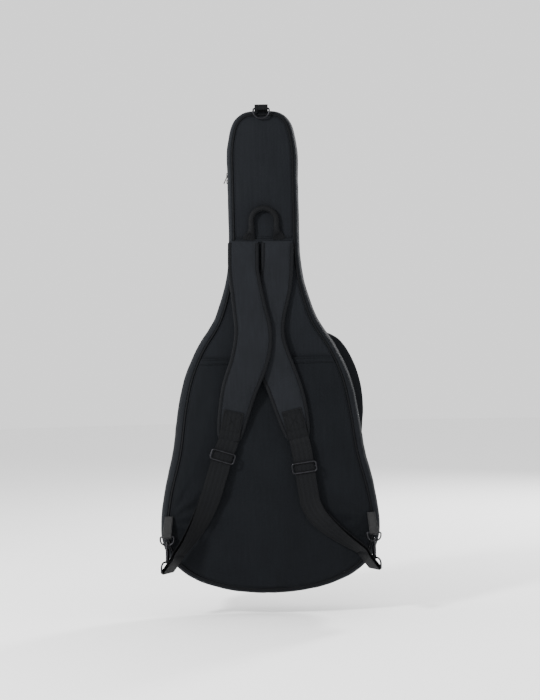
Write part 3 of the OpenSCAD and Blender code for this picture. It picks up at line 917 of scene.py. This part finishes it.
head = outline.inner.at(0.0).z - 0.0056
foot = outline.inner.at(0.5).z + 0.0056
back_gusset = put_on(gusset("back_side", outline, False), shell_cloth, "shell_cloth", "back_shell", "back_gusset")
for number, turn in enumerate((0.34, 0.548)):
    put_on(gusset_stitches(f"back_side_stitches_{number}", outline, False, turn), thread_paint, "shell_cloth",
           "back_shell")
upper = panel("back_upper_cloth", outline, head, seam_height, upper_lift, across=70, along=120)
put_on(upper, shell_cloth, "shell_cloth", "back_shell", "back_panel_upper")
lower = panel("back_lower_cloth", outline, seam_height - 0.0002, foot, lower_lift, across=70, along=170)
put_on(lower, shell_cloth, "shell_cloth", "back_shell", "back_panel_lower", "back_foam")


def pocket_sewn(co):
    return outline.from_seam(co.x, co.z) < 0.014 or co.z > mouth - 0.018 or co.y > BACK_FACE - 0.004


pocket = panel("back_pocket_cloth", outline, mouth, foot, pocket_lift, across=150, along=190, thickness=0.0013,
               puff={"is_sewn": pocket_sewn, "furthest": 0.0022, "body": 0.012, "push": 3.0})
put_on(pocket, pocket_cloth, "pocket_cloth", "back_shell", "back_pocket_panel")
hem_depth = 0.013
hem = panel("pocket_hem", outline, mouth + 0.0004, mouth - hem_depth, lambda x, z, d: pocket_lift(x, z, d) + 0.0009,
            across=110, along=10, thickness=0.0011, width_inset=0.0062)
put_on(hem, pocket_cloth, "binding", "back_shell", "back_pocket_hem")
for number, down in enumerate((0.0026, 0.0108)):
    z = mouth - down
    half = outline.half_width(z, 0.0075)
    line = [(-half + 2 * half * i / 160, z) for i in range(161)]
    put_on(stitches_over(f"hem_stitches_{number}", line,
                         lambda x, z: BACK_FACE - pocket_lift(x, z, outline.from_seam(x, z)) - 0.0010),
           thread_paint, "binding", "back_shell")
put_on(piping("back_piping_cord", outline, False), cord_cloth, "piping", "back_shell", "back_piping")


def seam_line(low, high, inset_more, side):
    """Points just inside the seam between two heights, down one side."""
    line = []
    for i in range(600):
        share = (i / 1200) if side > 0 else 1 - i / 1200
        here = outline.ring(share, outline.seam_inset(share) + inset_more)
        if low < here.z < high:
            line.append((here.x, here.z))
    return line


def back_depth(x, z):
    seam = outline.from_seam(x, z)
    if z < mouth:
        return BACK_FACE - pocket_lift(x, z, seam)
    return BACK_FACE - (upper_lift(x, z, seam) if z > seam_height else lower_lift(x, z, seam))


for side, word in ((-1, "left"), (1, "right")):
    for low, high, part in ((seam_height + 0.004, 0.0, "upper"), (mouth + 0.002, seam_height - 0.004, "middle"),
                            (-1.06, mouth - 0.016, "pocket")):
        line = seam_line(low, high, 0.0078, side)
        put_on(stitches_over(f"back_edge_stitches_{part}_{word}", line, back_depth), thread_paint, "shell_cloth",
               "back_shell")

# the seam across the bag that holds the straps and the handle
seam_half = outline.half_width(seam_height, 0.004)
roll = [(Vector((-seam_half + 2 * seam_half * i / 60, BACK_FACE - 0.0008, seam_height)), Vector((0, 0, 1)),
         Vector((0, -1, 0)), 0.0042) for i in range(61)]
put_on(sweep("cross_seam", roll, band_profile(0.0042, 0.8), around=14), shell_cloth, "shell_cloth", "back_shell")
for number, off in enumerate((0.0062, 0.0098)):
    line = [(-seam_half + 2 * seam_half * i / 90, seam_height + off) for i in range(91)]
    put_on(stitches_over(f"cross_stitches_{number}", line, back_depth), thread_paint, "shell_cloth", "back_shell")


# ---- Main zip ------------------------------------------------------------------------------------

def hinge_limits():
    """Shares of the outline where the zip stops on the lower right side."""
    inside = [i / 4000 for i in range(2000) if outline.outer.at(i / 4000).x > 0.15
              and -0.984 < outline.outer.at(i / 4000).z < -0.806]
    return min(inside), max(inside)


zip_end, zip_start = hinge_limits()
zip_run = 1.0 + zip_end - zip_start


def tape(name, side):
    """One half of the woven zip tape, from its sewn edge to the coil."""
    def place(u, v):
        share = zip_start + zip_run * v
        here = outline.ring(share, 0.0056 - 0.0018 * smooth_step(0.1, 0.45, u))
        depth = ZIP_LINE + side * (0.00015 + (TAPE_HALF + 0.0022) * u)
        return Vector((here.x, depth, here.z))

    return give_thickness(lay_cloth(name, 6, 420, place, size=(0.0105, outline.length * zip_run)), 0.0009, 0.0)


def coil(name, side, pitch=0.0024):
    """One row of moulded teeth."""
    length = outline.length * zip_run
    count = int(length / pitch)
    places = []
    for i in range(count):
        share = zip_start + zip_run * (i + (0.5 if side > 0 else 0.0)) / count
        here = outline.ring(share, 0.0036)
        ahead, behind = outline.ring(share + 0.0012, 0.0036), outline.ring(share - 0.0012, 0.0036)
        way = (ahead - behind).normalized()
        away = Vector((-way.z, 0, way.x))
        turned = Matrix((way, Vector((0, 1, 0)), away)).transposed().to_4x4()
        places.append(Matrix.Translation(Vector((here.x, ZIP_LINE + side * 0.00095, here.z))) @ turned)
    return copies_along(name, small_block((0.00095, 0.0028, 0.0024), 0.0004), places)


for side, word, body in ((-1, "back", "back_shell"), (1, "front", "lid")):
    put_on(tape(f"zip_tape_cloth_{word}", side), zip_cloth, "zip_tape", body, f"zip_tape_{word}")
    put_on(coil(f"zip_coil_{word}", side), coil_nylon, "zip_teeth", body, f"zip_teeth_{word}")


def hinge_cloth(u, v):
    share = zip_end - 0.001 + (zip_start - zip_end + 0.002) * v
    here = outline.ring(share, 0.0012 - 0.0022 * math.sin(u * math.pi) + 0.0004 * soft(0.1, v, 0.05, 3.0))
    return Vector((here.x, ZIP_LINE + (u - 0.5) * 0.0216, here.z))


hinge = give_thickness(lay_cloth("hinge_cloth", 12, 60, hinge_cloth, size=(0.02, 0.18)), 0.0016, 0.0)
shell_cloth.on(hinge)
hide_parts("hinge_strip")
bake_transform(hinge)


# ---- Linings -------------------------------------------------------------------------------------

def quilting(x, z, seam):
    """Soft squares between crossing stitch lines."""
    a, b = (x + z) / 0.085, (x - z) / 0.085
    puff = (abs(math.sin(a * math.pi)) * abs(math.sin(b * math.pi))) ** 0.4
    return 0.0016 * puff * min(seam / 0.012, 1.0) + 0.0006


back_floor = BACK_FACE + 0.0105
inside = panel("back_lining_cloth", outline, head, foot, quilting, across=90, along=230, thickness=0.001,
               width_inset=0.0004, outwards=1.0, face=lambda z: back_floor)
put_on(inside, lining_cloth, "lining", "back_shell", "back_lining")


# ---- Front half ----------------------------------------------------------------------------------

front_side = put_on(gusset("front_side", outline, True), shell_cloth, "shell_cloth", "lid", "front_gusset")
for number, turn in enumerate((0.34, 0.545)):
    put_on(gusset_stitches(f"front_side_stitches_{number}", outline, True, turn), thread_paint, "shell_cloth", "lid")


def front_lift(x, z, seam):
    return crown(seam, 0.0035, 0.05) + 0.0008 * soft(x, z, 0.07, 6.5) * min(seam / 0.03, 1)


def front_sewn(co):
    return outline.from_seam(co.x, co.z) < 0.013 or co.y < front_of(co.z) - 0.006


front = panel("front_cloth", outline, head, foot, front_lift, across=90, along=240, outwards=1.0, face=front_of,
              puff={"is_sewn": front_sewn, "furthest": 0.004, "body": 0.014})
put_on(front, shell_cloth, "shell_cloth", "lid", "front_panel", "front_foam")
inside = panel("front_lining_cloth", outline, head, foot, quilting, across=90, along=230, thickness=0.001,
               width_inset=0.0004, outwards=-1.0, face=lambda z: front_of(z) - 0.0105)
put_on(inside, lining_cloth, "lining", "lid", "front_lining")
put_on(piping("front_piping_cord", outline, True), cord_cloth, "piping", "lid", "front_piping")
for side, word in ((-1, "left"), (1, "right")):
    line = seam_line(-1.06, 0.0, 0.0078, side)
    put_on(stitches_over(f"front_edge_stitches_{word}", line,
                         lambda x, z: front_of(z) + front_lift(x, z, outline.from_seam(x, z)), front=True),
           thread_paint, "shell_cloth", "lid")


class FrontPocket:
    """The loop that the front pocket is sewn on, and its width at each height."""

    def __init__(self):
        mesh = node_points("front_pocket_side")
        points = [v.co.copy() for v in mesh.verts]
        mesh.free()
        tilt = math.atan(SLOPE)
        raised = {}
        for p in points:
            flat = Vector((p.x, (p.y - FRONT_FACE) * math.cos(tilt) + p.z * math.sin(tilt),
                           p.z * math.cos(tilt) - (p.y - FRONT_FACE) * math.sin(tilt)))
            if flat.y > 0.02:
                raised.setdefault((round(flat.x, 4), round(flat.z, 4)), flat)
        self.top = max(f.y for f in raised.values())
        pairs = list(raised)
        centre = (0.005, -0.75)
        ordered = loop_round(pairs, centre)
        # the outer line is every point that has another one about 3 mm further in
        tree = kdtree.KDTree(len(ordered))
        for i, p in enumerate(ordered):
            tree.insert(p, i)
        tree.balance()
        middle = Vector((centre[0], 0, centre[1]))
        outer = []
        for p in ordered:
            others = [ordered[i] for _, i, d in tree.find_range(p, 0.0036) if d > 0.002]
            if others and all((q - middle).length < (p - middle).length + 0.0004 for q in others):
                outer.append(p)
        self.loop = Loop(outer)
        self.rows = [self.loop.at(i / 1200) for i in range(1200)]
        self.near = kdtree.KDTree(1200)
        for i, p in enumerate(self.rows):
            self.near.insert(p, i)
        self.near.balance()
        self.high = max(p.z for p in self.rows)
        self.low = min(p.z for p in self.rows)

    def sides(self, z):
        """Left and right edges at a height."""
        crossings = []
        for a, b in zip(self.rows, self.rows[1:] + self.rows[:1]):
            if (a.z - z) * (b.z - z) <= 0 and a.z != b.z:
                crossings.append(a.x + (b.x - a.x) * (z - a.z) / (b.z - a.z))
        return (min(crossings), max(crossings)) if crossings else (0.0, 0.0)

    def from_edge(self, x, z):
        return self.near.find(Vector((x, 0, z)))[2]

    def ring(self, share, inset):
        here = self.loop.at(share)
        way = (self.loop.at(share + 0.002) - self.loop.at(share - 0.002)).normalized()
        return here + Vector((way.z, 0, -way.x)) * inset

    def in_place(self, x, height, z):
        """From the tilted front face's own x, height and z to the bag's."""
        tilt = math.atan(SLOPE)
        return Vector((x, FRONT_FACE + height * math.cos(tilt) - z * math.sin(tilt),
                       height * math.sin(tilt) + z * math.cos(tilt)))


bag = FrontPocket()
slot_low, slot_high = (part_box("front_pocket_zip_teeth")[k] for k in (0, 1))
slot_z = -0.512
slot_left, slot_right = slot_low.x, slot_high.x


def bag_height(x, z):
    """How far the front pocket's cloth stands off the bag."""
    edge = bag.from_edge(x, z)
    full = bag.top - 0.0005 + crown(edge, 0.0065, 0.09) + 0.0016 * soft(x, z, 0.10, 8.0) * min(edge / 0.04, 1)
    full += 0.0009 * soft(x + 0.3 * z, z, 0.035, 8.5) * min(edge / 0.03, 1)
    across = max(slot_left - 0.003 - x, x - slot_right - 0.003, 0.0)
    away = math.hypot(across, abs(z - slot_z))
    level = 1 - smooth_step(0.012, 0.045, away)
    full = full + (bag.top - 0.0003 - full) * level
    return full - (1 - smooth_step(0.0052, 0.0074, away)) * 0.0056


def bag_cloth(u, v):
    z = panel_rows(bag.high - 0.0036, bag.low + 0.0036, v)
    left, right = bag.sides(z)
    middle, half = (left + right) / 2, max((right - left) / 2 - 0.0032, 0.0)
    x = middle + half * math.sin((u - 0.5) * math.pi * 0.94) / math.sin(0.47 * math.pi)
    return bag.in_place(x, bag_height(x, z), z)


bag_front = lay_cloth("front_pocket_cloth", 130, 260, bag_cloth, size=(0.4, 0.53))
if sum(p.normal.y for p in bag_front.data.polygons) < 0:
    bag_front.data.flip_normals()


def bag_sewn(co):
    """Held along its cord and along its zip, and at the bottom of the filling."""
    return (bag.from_edge(co.x, co.z) < 0.013 or co.y < FRONT_FACE - SLOPE * co.z + bag.top - 0.010
            or (abs(co.z - slot_z) < 0.020 and slot_left - 0.02 < co.x < slot_right + 0.02))


swell(bag_front, bag_sewn, furthest=0.007, body=0.018)
start_clean()
bag_front.select_set(True)
bpy.context.view_layer.objects.active = bag_front
put_on(give_thickness(bag_front, 0.0014), pocket_cloth, "pocket_cloth", "lid", "front_pocket_panel")


def bag_wall(u, v):
    share = u % 1.0 if u < 0.99999 else 0.0
    here = bag.loop.at(share)
    bulge = 0.0022 * math.sin(v * math.pi) + 0.0012 * soft(here.x, here.z, 0.03, 11.0 + v) * math.sin(v * math.pi)
    out = bag.ring(share, 0.0016 - bulge)
    # its sewn edge stays on the bag's front where the slack pocket hangs past the side
    side = outline.half_width(out.z, 0.003)
    sewn = min(max(out.x, -side), side)
    x = sewn + (out.x - sewn) * smooth_step(-0.25, 0.8, v)
    return bag.in_place(x, 0.0004 + (bag.top - 0.001) * v, out.z)


wall = lay_cloth("front_pocket_wall", 360, 14, bag_wall, size=(bag.loop.length, 0.026))
put_on(give_thickness(wall, 0.0018), pocket_cloth, "pocket_cloth", "lid", "front_pocket_side")
rim = []
for i in range(360):
    here = bag.ring(i / 360, 0.0022)
    rim.append(bag.in_place(here.x, bag.top - 0.0004, here.z))
put_on(tube_along("front_pocket_cord", rim, 0.0022, around=10, closed=True), cord_cloth, "piping", "lid",
       "front_pocket_piping")
rows = []
for share_step in range(701):
    here = bag.ring(share_step / 700, 0.0072)
    rows.append(bag.in_place(here.x, bag_height(here.x, here.z) + 0.0001, here.z))
put_on(stitch_row("front_pocket_stitches", rows, [Vector((0, 1, 0))] * len(rows), 0.0038, 0.00042), thread_paint,
       "pocket_cloth", "lid")

tape_height = bag.top - 0.00075
for number, up in enumerate((-1, 1)):
    def zip_strip(u, v, up=up):
        x = slot_left + (slot_right - slot_left) * v
        return bag.in_place(x, tape_height + 0.0004 * (1 - u), slot_z + up * (0.0022 + 0.0054 * u))

    strip = lay_cloth(f"pocket_tape_{number}", 4, 60, zip_strip, size=(0.006, 0.184))
    strip = give_thickness(strip, 0.0009, 0.0)
    put_on(strip, zip_cloth, "zip_tape", "lid", *(["front_pocket_zip_tape"] if number == 0 else []))
    line = [(slot_left + (slot_right - slot_left) * i / 60, slot_z + up * 0.0092) for i in range(61)]
    points = [bag.in_place(x, bag_height(x, z) + 0.0001, z) for x, z in line]
    put_on(stitch_row(f"pocket_zip_stitches_{number}", points, [Vector((0, 1, 0))] * 61, 0.0032, 0.0004),
           thread_paint, "pocket_cloth", "lid")
    teeth = []
    for i in range(76):
        x = slot_left + 0.001 + (i + (0.5 if up > 0 else 0.0)) * 0.0024
        teeth.append(Matrix.Translation(bag.in_place(x, tape_height, slot_z + up * 0.0016)))
    put_on(copies_along(f"pocket_coil_{number}", small_block((0.0015, 0.0026, 0.0022), 0.0005), teeth), coil_nylon,
           "zip_teeth", "lid", *(["front_pocket_zip_teeth"] if number == 0 else []))


# ---- Hanging tab and handle ----------------------------------------------------------------------

def ribbon_in_side_view(points, x, half, flip=1.0):
    """Stations of a ribbon whose line is drawn in y and z; it is as wide as twice half, along x."""
    stations = []
    for i, (y, z) in enumerate(points):
        ahead, behind = points[min(i + 1, len(points) - 1)], points[max(i - 1, 0)]
        way = Vector((0, ahead[0] - behind[0], ahead[1] - behind[1])).normalized()
        out = way.cross(Vector((1, 0, 0))) * flip
        stations.append((Vector((x, y, z)) * 1.0, Vector((1, 0, 0)), out, half))
    return stations


tab_line = [(11.7, -9.0), (11.7, -4.0), (11.7, 0.5), (11.1, 4.6), (9.2, 7.6), (6.2, 9.0), (3.0, 8.3), (0.2, 6.2), (-2.2, 3.2),
            (-3.2, 0.2), (-2.4, -2.2), (0, -3.2), (2.4, -2.2), (3.2, 0.2), (3.2, 3.0), (4.4, 5.4), (6.6, 6.5),
            (8.8, 5.2)]
tab = sweep("hang_tab_ribbon", eased(ribbon_in_side_view([(y * MM, z * MM) for y, z in tab_line], 0.0, 0.0145), 3),
            band_profile(0.0015, 0.25), around=20)
put_on(tab, strap_webbing, "webbing", "back_shell", "hang_tab")

handle_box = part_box("handle_grip")
grip_y = (handle_box[0].y + handle_box[1].y) / 2
grip_r = 0.027
foot_z = seam_height + 0.0006
half_path = [(-0.0330, 0.0076, foot_z, 0.0140, 0.0022), (-0.0318, 0.0066, foot_z + 0.007, 0.0132, 0.0026),
             (-0.0298, 0.0046, foot_z + 0.013, 0.0112, 0.0044), (-0.0280, 0.0022, foot_z + 0.019, 0.0082, 0.0076),
             (-0.0270, grip_y, foot_z + 0.026, 0.0066, 0.0104), (-0.0270, grip_y, foot_z + 0.034, 0.0063, 0.0114)]
arch_z = handle_box[1].z - 0.006 - grip_r
grip_path = list(half_path)
for i in range(15):
    angle = math.pi - math.pi * i / 14
    grip_path.append((grip_r * math.cos(angle), grip_y, arch_z + grip_r * math.sin(angle), 0.0062, 0.0116))
grip_path += [(-x, y, z, a, b) for x, y, z, a, b in reversed(half_path)]


def strip_stations(path):
    stations = []
    for i, (x, y, z, half, thick) in enumerate(path):
        ahead, behind = path[min(i + 1, len(path) - 1)], path[max(i - 1, 0)]
        way = Vector([ahead[k] - behind[k] for k in range(3)]).normalized()
        across = way.cross(Vector((0, 1, 0))).normalized()
        stations.append((Vector((x, y, z)), across, across.cross(way) * 1.0, half))
    return stations


handle_stations = eased(strip_stations(grip_path), 3)
thick_marks = [p[4] for p in grip_path]


def handle_profile(turn, share, half):
    spot = share * (len(thick_marks) - 1)
    low = min(int(spot), len(thick_marks) - 2)
    thick = thick_marks[low] + (thick_marks[low + 1] - thick_marks[low]) * (spot - low)
    thick = 0.0024 + (0.0114 - 0.0024) * smooth_step(0.0135, 0.0066, half) if half > 0 else thick
    angle = turn * math.tau
    c, s = math.cos(angle), math.sin(angle)
    square = 0.45 + 0.5 * smooth_step(0.0125, 0.0066, half)
    return (math.copysign(abs(c) ** square, c) * half, math.copysign(abs(s) ** 0.9, s) * thick / 2)


grip = sweep("handle_strip", handle_stations, handle_profile, around=24)
strap_webbing.on(grip)
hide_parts("handle_grip", "handle_tabs")
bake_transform(grip)


# ---- Corner tabs ---------------------------------------------------------------------------------

for sign, word in ((-1, "left"), (1, "right")):
    low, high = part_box(f"corner_tab_{word}")
    ring_low, ring_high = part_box(f"corner_ring_{word}")
    bar_x, bar_y, bar_z = (ring_low.x + ring_high.x) / 2, (ring_low.y + ring_high.y) / 2, ring_high.z - 0.0018
    slope = math.atan2(high.y - bar_y - 0.0012, high.z - bar_z)
    stations = []
    fold = [(0.0026, 0.013), (0.0031, 0.006), (0.0033, 0.0), (0.0022, -0.0025), (0.0, -0.0034), (-0.0024, -0.0024),
            (-0.0033, 0.0002)]
    rise_up = [(0.002, 0.0), (-0.0006, 0.008), (-0.0006, 0.014), (-0.0006, 0.020), (-0.0004, 0.028), (0.0, 0.036),
               (0.0003, 0.0452)]
    for i, (y, z) in enumerate(fold + rise_up[1:]):
        turned = Vector((0, y * math.cos(slope) + z * math.sin(slope), z * math.cos(slope) - y * math.sin(slope)))
        share = smooth_step(0.004, 0.045, z) if i > 6 else smooth_step(0.004, 0.045, z) * 0.4
        stations.append((Vector((bar_x - sign * 0.004 * share, bar_y, bar_z)) + turned, None, None,
                         0.0100 - 0.0012 * share))
    points = [(c.y, c.z) for c, _, _, _ in stations]
    shaped = ribbon_in_side_view(points, bar_x, 0.01, -1.0)
    shaped = [(stations[i][0], a, o, stations[i][3]) for i, (_, a, o, _) in enumerate(shaped)]
    flap = sweep(f"corner_flap_{word}", eased(shaped, 4), band_profile(0.0021, 0.28), around=20)
    put_on(flap, leather, "tab_leather", "back_shell", f"corner_tab_{word}")
    rows, outs = [], []
    for centre, across, out, half in eased(shaped[8:], 6):
        facing = out if out.y < 0 else -out
        rows.append((centre + facing * 0.0012, across, facing, half))
    border = [c - a * (h - 0.0022) for c, a, o, h in rows] + [c + a * (h - 0.0022) for c, a, o, h in reversed(rows)]
    outs = [o for c, a, o, h in rows] + [o for c, a, o, h in reversed(rows)]
    put_on(stitch_row(f"corner_flap_stitches_{word}", border, outs, 0.0030, 0.00042), thread_paint, "tab_leather",
           "back_shell")


# ---- Shoulder straps -----------------------------------------------------------------------------

PAD = 11 * MM


def pad_stations(word):
    """The pad's middle line from its top seam to its rounded end."""
    raw = [(c - o * (PAD / 2 - 0.00075), a, o, h + 0.0052) for c, a, o, h in Strip(f"strap_face_{word}").stations]
    fine = eased(raw, 5)
    return fine


def pad_front(stations, share_marks, along, across):
    """A point on the front of the pad: along is a station number; across is not used."""
    low = min(int(along), len(stations) - 2)
    part = along - low
    centre = stations[low][0].lerp(stations[low + 1][0], part)
    side = stations[low][1].lerp(stations[low + 1][1], part).normalized()
    out = stations[low][2].lerp(stations[low + 1][2], part).normalized()
    half = stations[low][3] + (stations[low + 1][3] - stations[low][3]) * part
    return centre, side, out, half


def pad_height(word, across, metres, length, half):
    """How far the pad's front stands off its middle: crowned, pinched at the binding, creased where it bends."""
    seed = 20.0 if word == "left" else 27.0
    edge = (1 - abs(across)) * half
    full = 0.0016 + 0.0040 * math.sin(min(edge / 0.017, 1.0) * math.pi / 2) ** 0.7
    wave = noise.noise(Vector((across * 0.9, metres / 0.020, seed)))
    crease = -0.0009 * smooth_step(0.18, 0.5, wave) * smooth_step(0.05, 0.16, metres) * (1 - abs(across) * 0.3)
    soft_wave = 0.0005 * noise.noise(Vector((across, metres / 0.05, seed + 3)))
    top = 0.35 + 0.65 * smooth_step(0.0, 0.022, metres)
    bottom = 0.55 + 0.45 * smooth_step(0.0, 0.012, length - metres)
    return min((full + crease + soft_wave) * top * bottom, PAD / 2 + 0.0004)


def pad_way(stations):
    """Which way the pad points at its end."""
    return (stations[-1][0] - stations[-2][0]).normalized()


def make_pad(word):
    stations = pad_stations(word)
    marks = [0.0]
    for before, after in zip(stations, stations[1:]):
        marks.append(marks[-1] + (after[0] - before[0]).length)
    length = marks[-1]
    rows, columns = len(stations) - 1, 64

    def rounded(metres, half):
        """The pad's end is cut to a soft curve."""
        left = max(length - metres, 0.0)
        return half * (1.0 if left > 0.016 else 0.72 + 0.28 * math.sqrt(max(1 - (1 - left / 0.016) ** 2, 0.0)))

    def place(u, v):
        along = v * rows
        centre, side, out, half = pad_front(stations, marks, along, 0.0)
        low = min(int(along), rows - 1)
        metres = marks[low] + (marks[low + 1] - marks[low]) * (along - low)
        half = rounded(metres, half)
        turn = u % 1.0 if u < 0.99999 else 0.0
        angle = turn * math.tau
        across = math.copysign(abs(math.cos(angle)) ** 0.62, math.cos(angle))
        height = pad_height(word, across, metres, length, half)
        front_side = math.sin(angle) >= 0
        lift = height if front_side else -min(height, PAD / 2 - 0.0004)
        lift *= abs(math.sin(angle)) ** 0.25 if abs(across) > 0.9 else 1.0
        if v < 0.0001 or v > 0.9999:
            lift *= 0.3
        return centre + side * across * (half - 0.0012) + out * lift

    body = lay_cloth(f"pad_{word}", columns, rows * 2, place, size=(0.16, length))
    start_clean()
    bpy.context.view_layer.objects.active = body
    bpy.ops.object.mode_set(mode="EDIT")
    bpy.ops.mesh.select_all(action="DESELECT")
    bpy.ops.mesh.select_non_manifold(extend=False)
    bpy.ops.mesh.fill_grid(span=16)
    bpy.ops.mesh.select_all(action="SELECT")
    bpy.ops.mesh.normals_make_consistent(inside=False)
    bpy.ops.object.mode_set(mode="OBJECT")
    spine = kdtree.KDTree(len(stations))
    for i, station in enumerate(stations):
        spine.insert(station[0], i)
    spine.balance()

    def is_sewn(co):
        here, i, _ = spine.find(co)
        return (abs((co - here).dot(stations[i][1])) > stations[i][3] - 0.010 or marks[i] < 0.02
                or marks[i] > length - 0.076)

    swell(body, is_sewn, furthest=0.0011)
    return body, stations, marks, rounded


def front_mark(word, stations, marks, rounded, metres, across, more):
    """A point on the pad's face at a distance down it."""
    length = marks[-1]
    low = 0
    while low < len(marks) - 2 and marks[low + 1] < metres:
        low += 1
    along = low + (metres - marks[low]) / max(marks[low + 1] - marks[low], 1e-9)
    centre, side, out, half = pad_front(stations, marks, min(along, len(stations) - 1.0), across)
    half = rounded(metres, half)
    share = across / half if abs(across) < half else math.copysign(1.0, across)
    height = pad_height(word, share, metres, length, half)
    return centre + side * across + out * (height + more), side, out, half


def edge_loop(word, stations, marks, rounded, inwards, more):
    """Points down one edge, round the end and up the other edge of a pad."""
    length = marks[-1]
    points, outs = [], []
    for sign in (-1, 1):
        run = []
        for i in range(200):
            metres = 0.004 + (length - 0.004 - inwards * 0.8) * i / 199
            here, side, out, half = front_mark(word, stations, marks, rounded, metres, 0.0, 0.0)
            spot, _, out, _ = front_mark(word, stations, marks, rounded, metres, sign * (half - inwards), more)
            run.append((spot, out))
        points += run if sign < 0 else run[::-1]
        if sign < 0:
            metres = length - inwards * 0.8
            _, _, _, half = front_mark(word, stations, marks, rounded, metres, 0.0, 0.0)
            for i in range(1, 24):
                across = (half - inwards) * (2 * i / 24 - 1)
                spot, _, out, _ = front_mark(word, stations, marks, rounded, metres, across, more)
                points.append((spot, out))
    return [p for p, _ in points], [o for _, o in points]


pad_ends = {}
for word, body in (("left", "strap_left"), ("right", "strap_right")):
    pad, stations, marks, rounded = make_pad(word)
    put_on(pad, strap_cloth, "shell_cloth", body, f"strap_face_{word}", f"strap_foam_{word}",
           f"strap_backing_{word}")
    rim, rim_outs = edge_loop(word, stations, marks, rounded, 0.0036, 0.0)
    line = []
    for i, (point, out) in enumerate(zip(rim, rim_outs)):
        ahead, behind = rim[min(i + 1, len(rim) - 1)], rim[max(i - 1, 0)]
        way = (ahead - behind).normalized()
        line.append((point - out * 0.0031, way.cross(out).normalized(), out, 0.0045))
    binding = sweep(f"pad_binding_{word}", line, lambda turn, share, half: (
        math.copysign(abs(math.cos(turn * math.tau)) ** 0.7, math.cos(turn * math.tau)) * half,
        math.copysign(abs(math.sin(turn * math.tau)) ** 0.7, math.sin(turn * math.tau)) * 0.0041), around=16)
    put_on(binding, edge_tape, "binding", body, f"strap_binding_{word}")
    points, outs = edge_loop(word, stations, marks, rounded, 0.0066, 0.0010)
    put_on(stitch_row(f"pad_stitches_{word}", points, outs, 0.0034, 0.00042), thread_paint, "binding", body)

    # the webbing's sewn end, with a box and a cross in it
    length = marks[-1]
    top = length - 0.066
    sewn = []
    for i in range(21):
        metres = top + (length + 0.0030 - top) * i / 20
        here, side, out, half = front_mark(word, stations, marks, rounded, min(metres, length), 0.0, 0.0012)
        here = here + pad_way(stations) * max(metres - length, 0.0)
        sewn.append((here, side, out, min(0.0220, half - 0.001)))
    patch = sweep(f"pad_patch_{word}", sewn, band_profile(0.0016, 0.22), around=24)
    put_on(patch, strap_webbing, "webbing", body, f"strap_patch_{word}")
    inset, reach = 0.0180, 0.0032
    bottom = top + 0.044
    corners = [(-inset, top + reach), (inset, top + reach), (inset, bottom), (-inset, bottom)]
    route = [corners[0], corners[1], corners[2], corners[3], corners[0], corners[2], None, corners[1], corners[3]]
    pieces, leg = [], 0
    for a, b in zip(route, route[1:]):
        if a is None or b is None:
            continue
        points, outs = [], []
        for i in range(25):
            across, metres = (a[k] + (b[k] - a[k]) * i / 24 for k in (0, 1))
            here, side, out, half = front_mark(word, stations, marks, rounded, metres, 0.0, 0.0018)
            points.append(here + side * across)
            outs.append(out)
        pieces.append(stitch_row(f"patch_stitches_{word}_{leg}", points, outs, 0.0030, 0.00075))
        leg += 1
    put_on(join_as(f"patch_stitches_{word}", pieces), thread_paint, "webbing", body)
    here, side, out, half = front_mark(word, stations, marks, rounded, length - 0.004, 0.0, 0.0002)
    pad_ends[word] = (here, side, out, 0.0219)


# ---- Webbing -------------------------------------------------------------------------------------

def webbing_ribbon(word):
    """One ribbon: down from the pad, round the bar of the hook's eye and back up behind itself."""
    front_run = Strip(f"webbing_{word}", least=0.0425).stations
    back_run = Strip(f"webbing_{word}", longest=False, least=0.0425).stations
    fold = Strip(f"webbing_end_{word}", least=0.0425).stations
    half = 0.0219
    down = [pad_ends[word]] + [(c, a, o, half) for c, a, o, _ in front_run[1:]]
    up = [(c, a, o, half) for c, a, o, _ in reversed(back_run)]
    if (fold[0][0] - down[-1][0]).length > (fold[-1][0] - down[-1][0]).length:
        fold = fold[::-1]
    middle = [(c, a, o, half) for c, a, o, _ in fold]
    line = down + middle + up
    # keep the ribbon's own sides the same all the way round
    steady = [line[0]]
    for i in range(1, len(line)):
        centre, across, out, width = line[i]
        ahead, behind = line[min(i + 1, len(line) - 1)][0], line[i - 1][0]
        way = (ahead - behind).normalized()
        if across.dot(steady[-1][1]) < 0:
            across = -across
        across = (across - way * across.dot(way)).normalized()
        out = across.cross(way).normalized()
        if i == 1:
            first_way = (line[1][0] - line[0][0]).normalized()
            first_across = (line[0][1] - first_way * line[0][1].dot(first_way)).normalized()
            steady[0] = (line[0][0], first_across, first_across.cross(first_way).normalized(), half)
        steady.append((centre, across, out, width))
    ribbon = sweep(f"webbing_ribbon_{word}", eased(steady, 3), band_profile(0.0015, 0.18), around=24)
    strap_webbing.on(ribbon)
    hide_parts(f"webbing_{word}", f"webbing_end_{word}")
    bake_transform(ribbon)


for sign, word in ((-1, "left"), (1, "right")):
    webbing_ribbon(word)


# ---- Hardware ------------------------------------------------------------------------------------

def coat(node, paint):
    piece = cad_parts[node]
    piece.data.materials.clear()
    piece.data.materials.append(paint.material)


for word in ("left", "right"):
    for part in ("corner_ring", "hook", "hook_eye", "hook_gate", "adjuster"):
        coat(f"{part}_{word}", dark_nickel)
coat("hang_ring", dark_nickel)
for part in ("zip_slider_upper", "zip_pull_upper", "zip_slider_lower", "zip_pull_lower", "front_pocket_zip_slider",
             "front_pocket_zip_pull"):
    coat(part, zip_lacquer)

low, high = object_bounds()
